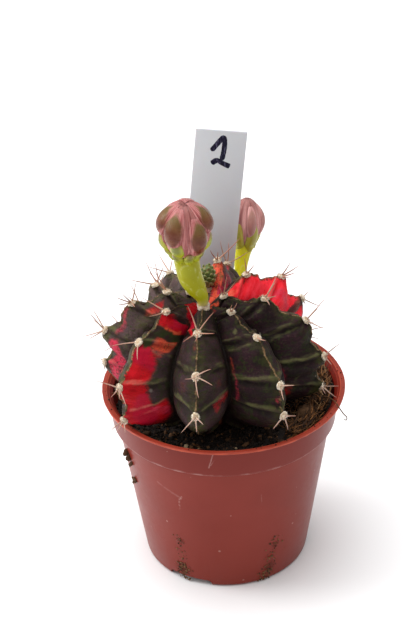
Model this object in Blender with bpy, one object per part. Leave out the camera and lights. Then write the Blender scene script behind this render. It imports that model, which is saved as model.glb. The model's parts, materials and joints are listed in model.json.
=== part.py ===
"""A ribbed, red and green cactus with two flower buds, in a 65 mm plastic nursery pot.

The pot stands on z = 0 with its axis on x = y = 0, and the plant is seen best from -Y.
Sizes and places are in millimetres, and each mesh is scaled to metres as it is finished.
Azimuths are in degrees round a vertical axis: 0 points at -Y, and 90 at +X.
"""
import math
import random

import bmesh
import bpy
from mathutils import Matrix, Vector, noise

MM = 0.001
GAP = 0.3                     # left between pieces that touch

# Pot
POT_HEIGHT = 51.1
POT_SEGMENTS = 64
BASE_RADIUS = 22.3
WALL_TOP_RADIUS = 28.7        # outside of the wall, just under the collar
COLLAR_HEIGHT = 9.2
COLLAR_RADII = (30.0, 30.5)   # outside, at the collar's foot and head
LIP_RADIUS = 32.5
LIP_THICKNESS = 0.9
LIP_WIDTH = 1.45              # flat top of the lip
WALL = 0.9
FLOOR = 1.2
FOOT_EDGE = 0.7               # the foot's cut-off edge
LIP_EDGE = 0.2                # and the lip's
LEDGE_SLOPE = 0.6             # heights over which the inside widens, at the ledge and at the mouth
MOUTH_SLOPE = 1.6
NOTCH_AZIMUTHS = (-28, 92, 212)
NOTCH_SIZE = (12.4, 7.0, 1.8)  # along the edge, radially, and up from the foot
NOTCH_CENTRE_RADIUS = 20.5
NOTCH_RING = 1.4              # a ring of the wall above the notches, in notch heights
COLLAR_FOOT = POT_HEIGHT - COLLAR_HEIGHT

# Soil
SOIL_SIDES = 60
SOIL_RINGS = 9
SOIL_FLAT = 44.0              # level of the soil round the plant
SOIL_EDGE_RISE = 1.3          # the level climbs towards the wall
SOIL_TILT = 0.045             # and towards +X
SOIL_LUMPS = 0.75
SOIL_CRUMBS = 0.38
LUMP_SCALE = 0.28
CRUMB_SCALE = 0.75
SOIL_CALM = (13.0, 25.0)      # flat within the first distance from the plant, free past the second
MOUND = (25.5, 1.0, 2.4, 8.0)  # x, y, height and spread of the heap of coarse bark

# Cactus
PLANT_AXIS = (-3.9, -2.5)
HEART = 62.8                  # height of the body's widest section
REACH = 30.0                  # crest radius there
DOME = 18.3                   # crest height above the heart
KEEL = 18.8                   # and depth below it
DOME_POWER = 2.56             # superellipse powers of the dome and of the underside
KEEL_POWER = 2.0
CROWN_DIP = 13.2              # height of the sunken growing point above the heart
FURROW = 0.68                 # furrow radius as a part of the crest radius
CROWN_FURROW = 0.45           # share of the furrows' depth lost at the crown
CROWN_FURROW_ANGLES = (35, 80)    # it fades between these angles above level
CROWN_SPAN = 26               # the dip at the growing point spreads this far from upright
KEEL_FURROW_ANGLES = (28, 60)     # furrows run out between these angles below level
ROOT_ANGLE = -50              # the ribs end here
CREST_NOTCH = 0.065           # depth of the dips between areoles
NOTCH_SKEW = 1.3              # above 1, they are deepest just above the next areole
# deeper dips below these areoles, by rib and place
DEEP_NOTCHES = {(2, 1): 0.09, (2, 2): 0.09, (2, 3): 0.09, (2, 4): 0.09, (3, 2): 0.13, (7, 2): 0.08,
                (7, 3): 0.09}
FLANK_POWER = 1.12            # 1 is a flat flank, more is a fuller one
FLANK_HOLLOW = 0.18           # the flank steepens by this near the furrow
ROOT_RADIUS = 8.0
ROOT_BOTTOM = 36.3
ROOT_HOLE_RADIUS = ROOT_RADIUS + GAP + 0.1   # its flat sides come nearer than its corners
ROOT_SIDES = 24
RIB_COLUMNS = 8
BODY_ROWS = 30

# Each rib's crest from the crown out, as azimuth, distance from the plant's axis and height:
# the place where it rises from the crown, then its areoles
RIBS = (
    ((-7, 3.0, 78.0), (-7, 6.9, 80.6), (-8, 17.8, 79.0), (-6.6, 27.5, 72.5), (-6.8, 29.8, 62.2)),
    ((36, 3.0, 77.9), (36, 10.4, 79.5), (36, 21.0, 76.9), (36, 30.2, 67.4), (36, 31.5, 59.0)),
    ((78, 2.0, 77.6), (78, 4.6, 79.9), (78, 15.2, 80.1), (78, 25.9, 74.7), (78, 30.6, 64.3),
     (78, 30.0, 55.2)),
    ((124, 2.5, 76.2), (124, 12.7, 81.5), (124, 23.9, 77.1), (124, 30.9, 68.0), (124, 30.0, 57.5)),
    ((148, 5.0, 77.3), (166, 12.8, 83.0), (165.5, 23.0, 76.4), (161, 26.3, 67.3), (163, 26.0, 56.5)),
    ((208, 4.0, 78.0), (208, 9.0, 80.6), (208, 20.5, 76.5), (208, 27.6, 69.0), (208, 29.0, 59.0)),
    ((240, 2.5, 77.5), (240, 5.0, 79.3), (240, 15.2, 78.9), (240, 19.8, 70.0), (240, 24.5, 60.5)),
    ((271, 4.3, 79.1), (271, 10.1, 81.1), (271, 19.2, 78.2), (271, 26.6, 70.4), (271, 27.1, 60.6)),
    ((312, 3.7, 78.7), (312, 13.9, 80.6), (312, 23.3, 75.6), (312, 30.3, 65.2), (312, 29.4, 55.0)),
)
FRONT_BUD_AREOLE = (0, 1)     # rib and place on it
BACK_BUD_AREOLE = (4, 3)
AREOLE_RADIUS = 1.25
AREOLE_HEIGHT = 0.75

# Spines: turn from straight up the rib, lift off the surface, length. The areoles that are seen
# from the front have their own, by rib and place, and the others share one set, with some jitter
SPINES = ((24, 52, 7.0), (-28, 50, 6.4), (100, 34, 6.0), (-97, 36, 6.6), (176, 32, 6.2))
SPINES_IN_FRONT = {
    (0, 1): ((-70, 15, 6.0), (80, 40, 6.0)),
    (0, 2): ((140, 15, 6.0), (-115, 25, 6.0), (-170, 20, 5.0), (20, 40, 7.0), (-35, 30, 6.5)),
    (0, 3): ((-55, 40, 6.0), (-110, 30, 6.0), (130, 60, 4.5), (-175, 20, 6.0)),
    (0, 4): ((105, 60, 6.0), (-70, 55, 5.0), (-160, 60, 4.0)),
    (1, 1): ((130, 50, 5.0), (175, 50, 6.0)),
    (1, 2): ((155, 40, 4.5),),
    (1, 3): ((-5, 80, 5.0), (150, 30, 4.0)),
    (1, 4): ((5, 45, 5.0), (95, 20, 6.0), (-170, 40, 3.5)),
    (2, 1): ((-70, 45, 5.0), (-25, 50, 6.0), (-25, 25, 6.0)),
    (2, 2): ((-125, 55, 6.5), (145, 70, 6.0), (135, 35, 5.0), (120, 10, 5.5)),
    (2, 3): ((60, 65, 6.0), (-85, 65, 7.0), (130, 30, 6.0)),
    (2, 4): ((0, 45, 6.0), (60, 25, 4.0), (85, 25, 5.0)),
    (2, 5): ((35, 35, 5.0), (75, 45, 5.5), (80, 10, 4.5)),
    (3, 1): ((50, 75, 5.5), (100, 50, 5.0)),
    (3, 2): ((60, 50, 6.0), (95, 45, 6.5), (85, 25, 6.0), (75, 10, 5.0)),
    (3, 3): ((-120, 50, 5.0), (160, 35, 6.0), (-165, 15, 5.0)),
    (4, 1): ((-30, 55, 6.0), (25, 55, 5.0), (120, 25, 8.0)),
    (5, 2): ((-110, 25, 6.0), (-165, 60, 6.0), (135, 35, 5.5)),
    (6, 2): ((-150, 25, 7.0), (60, 40, 5.0)),
    (7, 1): ((155, 55, 6.0), (155, 35, 6.5)),
    (7, 2): ((-5, 50, 6.0), (-95, 55, 6.0), (-135, 50, 6.0), (-135, 30, 5.5), (-75, 5, 5.0)),
    (7, 4): ((150, 10, 5.0), (120, 15, 5.0), (95, 20, 5.0)),
    (8, 1): ((115, 35, 7.5), (-175, 20, 6.0), (-100, 35, 5.0)),
    (8, 2): ((135, 30, 7.0), (-145, 5, 6.0)),
    (8, 3): ((60, 45, 6.0), (-95, 60, 5.0), (-105, 35, 5.0), (-120, 10, 6.0)),
    (8, 4): ((-5, 55, 5.5), (-75, 30, 4.5), (-50, 55, 4.5)),
}
SPINE_RADIUS = 0.26
SPINE_TIP = 0.09
SPINE_BOW = 0.14              # sideways bend as a part of the length
SPINE_FOOT = 0.15             # a spine starts this far out from its areole's place
SPINE_JITTER = (14, 9, 0.2)   # of the turn, the lift and, as a part of it, the length
SPINE_CLEARANCE = 0.8
LABEL_CLEARANCE = 0.5

# Buds: places on a tube's centre line and its radius there, and the head on top of it, with the
# number of its tepals and of the scales under them, and the azimuth of the first of each
FRONT_TUBE = ((-6.2, -9.9, 85.3, 2.6), (-7.9, -10.0, 89.6, 3.05), (-8.5, -9.8, 93.6, 3.2))
FRONT_HEAD = dict(foot=(-8.8, -9.7, 96.5), tip=(-8.5, -11.2, 111.0), radius=6.3, foot_radius=3.3,
                  tepals=(12, -30), scales=(5, -12))
BACK_TUBE = ((5.5, 24.7, 69.9, 1.45), (5.8, 27.2, 72.9, 2.0), (6.2, 29.0, 75.2, 2.5))
BACK_HEAD = dict(foot=(6.8, 30.2, 76.9), tip=(7.9, 31.9, 90.0), radius=4.4, foot_radius=2.8,
                 tepals=(10, 20), scales=(5, -60))
TUBE_SIDES = 12
HEAD_SIDES = 16
HEAD_RINGS = 8
HEAD_WIDEST = 0.45            # share of a head's height where it is widest
CORE_INSET = 0.15
OUTER_TEPAL = (1.15, 0.90, 0.84)   # bulge, end as a share of the head, width as a part of its radius
INNER_TEPAL = (0.6, 0.96, 0.55)
TEPAL_START = 0.24
TEPAL_DEPTH = 2.4             # a tepal's inner side is sunk in the head's core
SEAT_TOP = 0.6                # a bud's seat stands this far above its areole's place
SEAT_DEPTH = 2.0
SEAT_RADIUS = 1.4
TUBE_START_RADIUS = 1.15
SCALE_THICKNESS = 0.7
SCALE_WIDTH = 1.16            # as a part of the radius of the head's foot
SCALE_START = -0.16           # shares of the head's height, the foot's own being 0
SCALE_FLARE = 0.08
SCALE_REST = 0.2              # a scale's foot stands this far out of the tube

YOUNG_BUD = dict(foot=(-3.4, 4.4, 78.6), height=6.2, radius=2.0, foot_radius=0.9)
YOUNG_BUD_RINGS = 8
YOUNG_BUD_SIDES = 15
YOUNG_BUD_SCALES = 5          # spiral rows of scales, raised by this part of the radius
YOUNG_BUD_RELIEF = 0.12

# Label: a strip that stands behind the body, with a pointed foot
LABEL_WIDTH = 13.6
LABEL_THICKNESS = 0.6
LABEL_FOOT = (-6.0, 23.6, 45.0)   # centre of the strip where it meets the soil
LABEL_ABOVE = 68.3
LABEL_BELOW = 18.0
LABEL_POINT_WIDTH = 3.0
LABEL_LEAN_RIGHT = 6.1
LABEL_LEAN_BACK = 2.4

PLANT = Vector((*PLANT_AXIS, 0.0))


def clear_scene():
    for old in list(bpy.data.objects):
        bpy.data.objects.remove(old, do_unlink=True)


def make_material(name, colour, roughness):
    made = bpy.data.materials.new(name)
    made.use_nodes = True
    shader = made.node_tree.nodes["Principled BSDF"]
    shader.inputs["Base Color"].default_value = (*colour, 1.0)
    shader.inputs["Roughness"].default_value = roughness
    shader.inputs["Metallic"].default_value = 0.0
    made.diffuse_color = (*colour, 1.0)
    return made


def finish(bm, name, material, smooth_below=35):
    """Turn a bmesh in millimetres into an object in metres."""
    bmesh.ops.recalc_face_normals(bm, faces=bm.faces)
    bmesh.ops.scale(bm, vec=(MM, MM, MM), verts=bm.verts)
    mesh = bpy.data.meshes.new(name)
    bm.to_mesh(mesh)
    bm.free()
    mesh.shade_smooth()
    mesh.set_sharp_from_angle(angle=math.radians(smooth_below))
    if material is not None:
        mesh.materials.append(material)
    made = bpy.data.objects.new(name, mesh)
    bpy.context.scene.collection.objects.link(made)
    return made


def hide_cutter(cutter):
    cutter.hide_render = True
    cutter.display_type = "WIRE"


def cut_away(target, cutter):
    hide_cutter(cutter)
    cut = target.modifiers.new(cutter.name, "BOOLEAN")
    cut.operation = "DIFFERENCE"
    cut.object = cutter
    cut.solver = "EXACT"


def fuse(target, pieces):
    """Join small pieces to the object that they grow from, and remove them."""
    group = bpy.data.collections.new(target.name + "_pieces")
    bpy.context.scene.collection.children.link(group)
    for piece in pieces:
        group.objects.link(piece)
        bpy.context.scene.collection.objects.unlink(piece)
    union = target.modifiers.new("union", "BOOLEAN")
    union.operation = "UNION"
    union.operand_type = "COLLECTION"
    union.collection = group
    union.solver = "EXACT"
    bpy.context.view_layer.update()
    evaluated = target.evaluated_get(bpy.context.evaluated_depsgraph_get())
    joined = bpy.data.meshes.new_from_object(evaluated)
    target.modifiers.clear()
    target.data = joined
    for piece in pieces:
        bpy.data.objects.remove(piece, do_unlink=True)
    bpy.data.collections.remove(group)


def around(azimuth, distance, height):
    """The point at an azimuth and a distance from the vertical axis."""
    turn = math.radians(azimuth)
    return Vector((distance * math.sin(turn), -distance * math.cos(turn), height))


def mix(a, b, share):
    return a + (b - a) * share


def ease(value, start=0.0, end=1.0):
    """A soft step from 0 at the start to 1 at the end."""
    share = min(max((value - start) / (end - start), 0.0), 1.0)
    return share * share * (3.0 - 2.0 * share)


def ease_degrees(angle, limits):
    """The same step for an angle in radians, between two limits in degrees."""
    return ease(angle, math.radians(limits[0]), math.radians(limits[1]))


def frame_along(direction, up=Vector((0.0, 0.0, 1.0))):
    """A rotation whose +Z is the direction and whose +Y leans towards up."""
    z = direction.normalized()
    x = up.cross(z)
    if x.length < 1e-4:
        x = Vector((1.0, 0.0, 0.0))
    x.normalize()
    y = z.cross(x)
    return Matrix((x, y, z)).transposed().to_4x4()


def spin_profile(points, segments):
    """Turn a profile that starts and ends on the Z axis into a closed body."""
    bm = bmesh.new()
    verts = [bm.verts.new((radius, 0.0, height)) for radius, height in points]
    edges = [bm.edges.new(pair) for pair in zip(verts, verts[1:])]
    bmesh.ops.spin(bm, geom=verts + edges, cent=(0, 0, 0), axis=(0, 0, 1), angle=math.tau,
                   steps=segments, use_merge=True, use_duplicate=False)
    bmesh.ops.remove_doubles(bm, verts=bm.verts, dist=0.001)
    return bm


def inner_wall():
    """The pot's inside, from the floor up: radius and height."""
    ledge = COLLAR_FOOT - WALL
    return ((BASE_RADIUS - WALL, FLOOR), (WALL_TOP_RADIUS - WALL, ledge),
            (COLLAR_RADII[0] - WALL, COLLAR_FOOT + LEDGE_SLOPE),
            (COLLAR_RADII[1] - WALL, POT_HEIGHT - MOUTH_SLOPE))


def make_pot():
    lip_foot = POT_HEIGHT - LIP_THICKNESS
    # the ring keeps the notches' cut out of the rest of the wall
    above_notch = NOTCH_RING * NOTCH_SIZE[2]
    slope = (WALL_TOP_RADIUS - BASE_RADIUS) / (COLLAR_FOOT - FOOT_EDGE)
    outside = ((0.0, 0.0), (BASE_RADIUS - FOOT_EDGE, 0.0), (BASE_RADIUS, FOOT_EDGE),
               (BASE_RADIUS + slope * (above_notch - FOOT_EDGE), above_notch),
               (WALL_TOP_RADIUS, COLLAR_FOOT), (COLLAR_RADII[0], COLLAR_FOOT),
               (COLLAR_RADII[1], lip_foot), (LIP_RADIUS - LIP_EDGE, lip_foot),
               (LIP_RADIUS, lip_foot + LIP_EDGE), (LIP_RADIUS, POT_HEIGHT - LIP_EDGE),
               (LIP_RADIUS - LIP_EDGE, POT_HEIGHT), (LIP_RADIUS - LIP_WIDTH, POT_HEIGHT))
    inside = tuple(reversed(inner_wall())) + ((0.0, FLOOR),)
    pot = finish(spin_profile(outside + inside, POT_SEGMENTS), "pot",
                 make_material("pot_plastic", (0.28, 0.045, 0.03), 0.35))
    cutters = bmesh.new()
    for azimuth in NOTCH_AZIMUTHS:
        along, radial, up = NOTCH_SIZE
        # the cutter reaches as far below the foot as above it, so its top is the notch's roof
        place = Matrix.Translation(around(azimuth, NOTCH_CENTRE_RADIUS, 0.0))
        turn = Matrix.Rotation(math.radians(azimuth), 4, "Z")
        size = Matrix.Diagonal((along, radial, 2 * up, 1.0))
        bmesh.ops.create_cube(cutters, size=1.0, matrix=place @ turn @ size)
    cut_away(pot, finish(cutters, "drain_notches", None))


def soil_height(x, y):
    """Height of the soil at a place, in millimetres."""
    away = ease(math.hypot(x - PLANT_AXIS[0], y - PLANT_AXIS[1]), *SOIL_CALM)
    level = SOIL_FLAT + away * (SOIL_EDGE_RISE + SOIL_TILT * x)
    lumps = SOIL_LUMPS * away * noise.noise(Vector((x, y, 0.0)) * LUMP_SCALE)
    crumbs = SOIL_CRUMBS * away * noise.noise(Vector((x, y, 9.0)) * CRUMB_SCALE)
    mound_x, mound_y, mound_height, spread = MOUND
    near = math.exp(-((x - mound_x) ** 2 + (y - mound_y) ** 2) / spread ** 2)
    return level + lumps + crumbs + mound_height * near * away


def make_soil():
    wall = inner_wall()[:3]
    outline = [(0.0, FLOOR + GAP)] + [(radius - GAP, height + GAP) for radius, height in wall]
    top_radius = outline[-1][0]
    for ring in range(SOIL_RINGS + 1):
        outline.append((top_radius * (1.0 - ring / SOIL_RINGS), SOIL_FLAT))
    bm = spin_profile(outline, SOIL_SIDES)
    for vert in bm.verts:
        if vert.co.z > SOIL_FLAT - 0.01:
            vert.co.z = soil_height(vert.co.x, vert.co.y)
    soil = finish(bm, "soil", make_material("peat", (0.035, 0.02, 0.012), 0.9), 60)

    hole = bmesh.new()
    bottom = ROOT_BOTTOM - GAP
    depth = POT_HEIGHT - bottom
    bmesh.ops.create_cone(hole, cap_ends=True, segments=ROOT_SIDES, radius1=ROOT_HOLE_RADIUS,
                          radius2=ROOT_HOLE_RADIUS, depth=depth,
                          matrix=Matrix.Translation((*PLANT_AXIS, bottom + depth / 2)))
    cut_away(soil, finish(hole, "root_hole", None))
    cut_away(soil, make_strip("label_slot", None, GAP))


def superellipse(angle, reach, height, power):
    """Distance from the heart to a superellipse, at an angle up from level."""
    across = abs(math.cos(angle)) / reach
    upward = abs(math.sin(angle)) / height
    return (across ** power + upward ** power) ** (-1.0 / power)


def body_reach(angle):
    """Crest distance from the heart, before each rib's own bumps: dome, keel and root crown."""
    if angle >= 0.0:
        return superellipse(angle, REACH, DOME, DOME_POWER)
    keel = superellipse(angle, REACH, KEEL, KEEL_POWER)
    across = max(math.cos(angle), 1e-6)
    root = min(ROOT_RADIUS / across, (HEART - ROOT_BOTTOM) / max(-math.sin(angle), 1e-6))
    return max(keel, root)


def rib_knots(rib):
    """A rib's places as (angle up from level, distance as a part of body_reach, azimuth)."""
    knots = []
    for azimuth, distance, height in RIBS[rib]:
        angle = math.atan2(height - HEART, distance)
        knots.append((angle, math.hypot(distance, height - HEART) / body_reach(angle), azimuth))
    return knots


def crest(rib, angle, notched=True):
    """Distance from the heart and azimuth of a rib's crest at an angle, with its notches or not."""
    knots = rib_knots(rib)
    first = knots[0]
    if angle >= first[0]:
        share = (math.pi / 2 - angle) / (math.pi / 2 - first[0])
        return mix(CROWN_DIP, first[1] * body_reach(first[0]), share), first[2]
    knots.append((math.radians(ROOT_ANGLE), 1.0, knots[-1][2]))
    for number, (upper, lower) in enumerate(zip(knots, knots[1:])):
        if angle >= lower[0]:
            share = (upper[0] - angle) / (upper[0] - lower[0])
            scale = mix(upper[1], lower[1], ease(share))
            if notched and number > 0:
                depth = DEEP_NOTCHES.get((rib, number), CREST_NOTCH)
                scale -= depth * math.sin(math.pi * share ** NOTCH_SKEW) ** 2
            return scale * body_reach(angle), mix(upper[2], lower[2], share)
    return body_reach(angle), knots[-1][2]


def furrow(angle):
    """Distance from the heart to the bottom of the furrows."""
    depth = 1.0 - FURROW
    if angle > 0.0:
        depth *= 1.0 - CROWN_FURROW * ease_degrees(angle, CROWN_FURROW_ANGLES)
        crown = ease_degrees(math.pi / 2 - angle, (0, CROWN_SPAN))
        return mix(CROWN_DIP, (1.0 - depth) * body_reach(angle), crown)
    depth *= 1.0 - ease_degrees(-angle, KEEL_FURROW_ANGLES)
    return (1.0 - depth) * body_reach(angle)


def flank(across):
    """Share of the rib's height at a place between crest (0) and furrow (1)."""
    return (1.0 - across ** FLANK_POWER) * (1.0 - FLANK_HOLLOW * ease(across, 0.75, 1.0))


def body_point(column, angle):
    """A point of the body. Whole columns are RIB_COLUMNS to a rib, and crests are on multiples."""
    index = column / RIB_COLUMNS
    near = round(index)
    across = (index - near) * 2.0
    reach, azimuth = crest(near % len(RIBS), angle)
    side = 1 if across > 0 else -1
    other = crest((near + side) % len(RIBS), angle)[1]
    half = ((other - azimuth) * side % 360.0) / 2.0
    distance = mix(min(furrow(angle), reach), reach, flank(abs(across)))
    return around(azimuth + across * half, distance * math.cos(angle),
                  HEART + distance * math.sin(angle))


def areole_frame(rib, number):
    """Place and outward direction of an areole on its rib's crest, from the plant's axis."""
    azimuth, distance, height = RIBS[rib][number]
    angle = math.atan2(height - HEART, distance)
    step = math.radians(5)
    ends = []
    for near in (angle - step, angle + step):
        reach, turn = crest(rib, near, notched=False)
        ends.append(around(turn, reach * math.cos(near), HEART + reach * math.sin(near)))
    along = (ends[1] - ends[0]).normalized()
    sideways = Vector((math.cos(math.radians(azimuth)), math.sin(math.radians(azimuth)), 0.0))
    outward = along.cross(sideways).normalized()
    place = around(azimuth, distance, height)
    if outward.dot(place - Vector((0.0, 0.0, HEART))) < 0.0:
        outward.negate()
    return place, outward


def make_areole(place, outward, name):
    bm = bmesh.new()
    size = Matrix.Diagonal((AREOLE_RADIUS, AREOLE_RADIUS * 1.15, AREOLE_HEIGHT, 1.0))
    where = Matrix.Translation(place) @ frame_along(outward) @ size
    bmesh.ops.create_uvsphere(bm, u_segments=6, v_segments=3, radius=1.0, matrix=where)
    return finish(bm, name, None)


def make_seat(place, tube, name):
    """A flat-topped pad that carries a bud's tube."""
    direction = bud_direction(tube, place + PLANT)
    bm = bmesh.new()
    middle = place + direction * (SEAT_TOP - SEAT_DEPTH / 2)
    bmesh.ops.create_cone(bm, cap_ends=True, segments=TUBE_SIDES, radius1=SEAT_RADIUS + 0.5,
                          radius2=SEAT_RADIUS, depth=SEAT_DEPTH,
                          matrix=Matrix.Translation(middle) @ frame_along(direction))
    return finish(bm, name, None)


def extrude_cap(bm, cap, first):
    """Extrude the closing face of a tube, and return the new face and its corners."""
    grown = bmesh.ops.extrude_face_region(bm, geom=cap)["geom"]
    if not first:
        bmesh.ops.delete(bm, geom=cap, context="FACES_ONLY")
    verts = [item for item in grown if isinstance(item, bmesh.types.BMVert)]
    return verts, [item for item in grown if isinstance(item, bmesh.types.BMFace)]


def make_spine(foot, direction, length, bow, name):
    """A three-sided needle in two lengths, bent a little, whose foot is sunk in its areole."""
    bm = bmesh.new()
    turn = frame_along(direction)
    bmesh.ops.create_circle(bm, cap_ends=True, segments=3, radius=SPINE_RADIUS,
                            matrix=Matrix.Translation(foot) @ turn)
    cap = bm.faces[:]
    for share, radius in ((0.5, 0.8 * SPINE_RADIUS), (1.0, SPINE_TIP)):
        verts, cap = extrude_cap(bm, cap, share < 1.0)
        middle = foot + direction * (length * share) + bow * (length * share ** 2)
        old = sum((vert.co for vert in verts), Vector()) / len(verts)
        spread = radius / (verts[0].co - old).length
        for vert in verts:
            vert.co = middle + (vert.co - old) * spread
    return finish(bm, name, None)


def keep_outs():
    """Balls and their radii that spines stay clear of, from the world's origin."""
    balls = []
    for tube, head, spot in ((FRONT_TUBE, FRONT_HEAD, FRONT_BUD_AREOLE),
                             (BACK_TUBE, BACK_HEAD, BACK_BUD_AREOLE)):
        balls += [(Vector(station[:3]), station[3]) for station in tube]
        start = areole_frame(*spot)[0] + PLANT
        balls += [(mix(start, Vector(tube[0][:3]), share), SEAT_RADIUS) for share in (0.3, 0.6)]
        middle = (Vector(head["foot"]) + Vector(head["tip"])) / 2
        balls.append((middle, head["radius"] + SPINE_CLEARANCE))
    young = Vector(YOUNG_BUD["foot"])
    for share in (0.2, 0.6, 1.0):
        balls.append((young + Vector((0, 0, YOUNG_BUD["height"] * share)), YOUNG_BUD["radius"]))
    return balls


def spine_is_clear(points, balls, label):
    """Whether a spine's points miss the buds, the label, the pot's lip and the soil."""
    for point in points:
        if any((point - centre).length < radius + SPINE_CLEARANCE for centre, radius in balls):
            return False
        inside = label @ point
        near_label = abs(inside.x) < LABEL_WIDTH / 2 + LABEL_CLEARANCE
        if near_label and abs(inside.y) < LABEL_THICKNESS + LABEL_CLEARANCE:
            return False
        near_wall = math.hypot(point.x, point.y) > COLLAR_RADII[1] - WALL - SPINE_CLEARANCE
        if near_wall and point.z < POT_HEIGHT + SPINE_CLEARANCE:
            return False
        if point.z < soil_height(point.x, point.y) + SPINE_CLEARANCE:
            return False
    return True


def make_areoles_and_spines():
    draw = random.Random(5)
    balls = keep_outs()
    label = strip_matrix().inverted()
    pieces = []
    for rib in range(len(RIBS)):
        for number in range(1, len(RIBS[rib])):
            place, outward = areole_frame(rib, number)
            name = f"areole_{rib}_{number}"
            if (rib, number) == FRONT_BUD_AREOLE:
                pieces.append(make_seat(place, FRONT_TUBE, name))
            elif (rib, number) == BACK_BUD_AREOLE:
                pieces.append(make_seat(place, BACK_TUBE, name))
            else:
                pieces.append(make_areole(place, outward, name))
            up = Vector((0.0, 0.0, 1.0)) - outward * outward.z
            up = up.normalized() if up.length > 0.2 else -around(RIBS[rib][number][0], 1.0, 0.0)
            own = SPINES_IN_FRONT.get((rib, number))
            for count, (turn, lift, length) in enumerate(own or SPINES):
                jitter = [draw.uniform(-reach, reach) for reach in SPINE_JITTER]
                if not own:
                    turn += jitter[0]
                    lift += jitter[1]
                    length *= 1.0 + jitter[2]
                low = Matrix.Rotation(math.radians(turn), 3, outward) @ up
                direction = low * math.cos(math.radians(lift)) + outward * math.sin(math.radians(lift))
                bow = (low.cross(outward) * draw.uniform(-1, 1) + outward * 0.5) * SPINE_BOW
                foot = place + outward * SPINE_FOOT
                ways = [foot + PLANT + (direction + bow * share) * (length * share)
                        for share in (0.35, 0.7, 1.0)]
                if spine_is_clear(ways, balls, label):
                    name = f"spine_{rib}_{number}_{count}"
                    pieces.append(make_spine(foot, direction, length, bow, name))
    return pieces


def make_young_bud_seat():
    """The woolly spot in the crown under the young bud."""
    foot = Vector(YOUNG_BUD["foot"]) - PLANT
    top_radius = YOUNG_BUD["foot_radius"] + GAP
    depth = 2.0 * SEAT_DEPTH
    bm = bmesh.new()
    bmesh.ops.create_cone(bm, cap_ends=True, segments=TUBE_SIDES, radius1=top_radius + 0.5,
                          radius2=top_radius, depth=depth,
                          matrix=Matrix.Translation(foot - Vector((0, 0, GAP + depth / 2))))
    return finish(bm, "young_bud_seat", None)


def make_cactus_body():
    columns = RIB_COLUMNS * len(RIBS)
    bm = bmesh.new()
    bmesh.ops.create_uvsphere(bm, u_segments=columns, v_segments=BODY_ROWS, radius=1.0)
    for vert in bm.verts:
        column = math.atan2(vert.co.y, vert.co.x) / math.tau * columns
        angle = math.asin(max(-1.0, min(1.0, vert.co.z)))
        if abs(angle) > math.radians(89.9):
            column = 0.0
        vert.co = body_point(column, angle)
    skin = make_material("cactus_skin", (0.09, 0.05, 0.035), 0.45)
    body = finish(bm, "cactus_body", skin, 50)
    fuse(body, make_areoles_and_spines() + [make_young_bud_seat()])
    body.data.materials.clear()
    body.data.materials.append(skin)
    return body


def bud_direction(tube, areole):
    """The direction that a bud's tube sets off in, from its areole."""
    return (Vector(tube[0][:3]) - areole).normalized()


def loft(stations, sides, name, material):
    """A tube through stations of centre, radius and direction, closed at both ends."""
    bm = bmesh.new()
    centre, radius, direction = stations[0]
    bmesh.ops.create_circle(bm, cap_ends=True, segments=sides, radius=radius,
                            matrix=Matrix.Translation(centre) @ frame_along(direction))
    cap = bm.faces[:]
    for number in range(1, len(stations)):
        centre, radius, direction = stations[number]
        verts, cap = extrude_cap(bm, cap, number == 1)
        turn = stations[number - 1][2].rotation_difference(direction).to_matrix().to_4x4()
        back = Matrix.Translation(centre) @ turn
        old = sum((vert.co for vert in verts), Vector()) / len(verts)
        spread = radius / (verts[0].co - old).length
        for vert in verts:
            vert.co = back @ ((vert.co - old) * spread)
    return finish(bm, name, material)


def head_radius(head, share):
    """Radius of a closed bud at a share of its height: nearly a ball, cut flat at its foot."""
    wide = head["radius"]
    if share < HEAD_WIDEST:
        flat = math.sqrt(1.0 - (head["foot_radius"] / wide) ** 2)
        return wide * math.sqrt(1.0 - (flat * (1.0 - share / HEAD_WIDEST)) ** 2)
    return wide * math.sqrt(1.0 - (0.985 * (share - HEAD_WIDEST) / (1.0 - HEAD_WIDEST)) ** 2)


def head_matrix(head):
    foot = Vector(head["foot"])
    return Matrix.Translation(foot) @ frame_along(Vector(head["tip"]) - foot, Vector((0.0, 1.0, 0.0)))


def head_height(head):
    return (Vector(head["tip"]) - Vector(head["foot"])).length


def make_blade(head, azimuth, start, end, width, outer, thickness, name):
    """A blade wrapped on a head between two shares of its height.

    outer gives the radius of its outer face at a share of the head's height, a share of the
    blade's own length, and a place across it from -1 to 1.
    """
    bm = bmesh.new()
    bmesh.ops.create_grid(bm, x_segments=4, y_segments=5, size=0.5)
    height = head_height(head)
    for vert in bm.verts:
        along = vert.co.y + 0.5
        aside = vert.co.x * 2.0
        share = mix(start, end, along)
        spread = width / 2 * math.sin(math.pi * mix(0.16, 0.93, along)) ** 0.7
        radius = outer(share, along, aside)
        turn = aside * spread / max(radius, 1.2)
        vert.co = around(azimuth + math.degrees(turn), radius, share * height)
    grown = bmesh.ops.extrude_face_region(bm, geom=bm.faces[:])["geom"]
    for vert in [item for item in grown if isinstance(item, bmesh.types.BMVert)]:
        radius = math.hypot(vert.co.x, vert.co.y)
        inward = max(radius - thickness, 0.2) / radius
        vert.co.x *= inward
        vert.co.y *= inward
    bmesh.ops.transform(bm, matrix=head_matrix(head), verts=bm.verts)
    return finish(bm, name, None)


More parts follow.
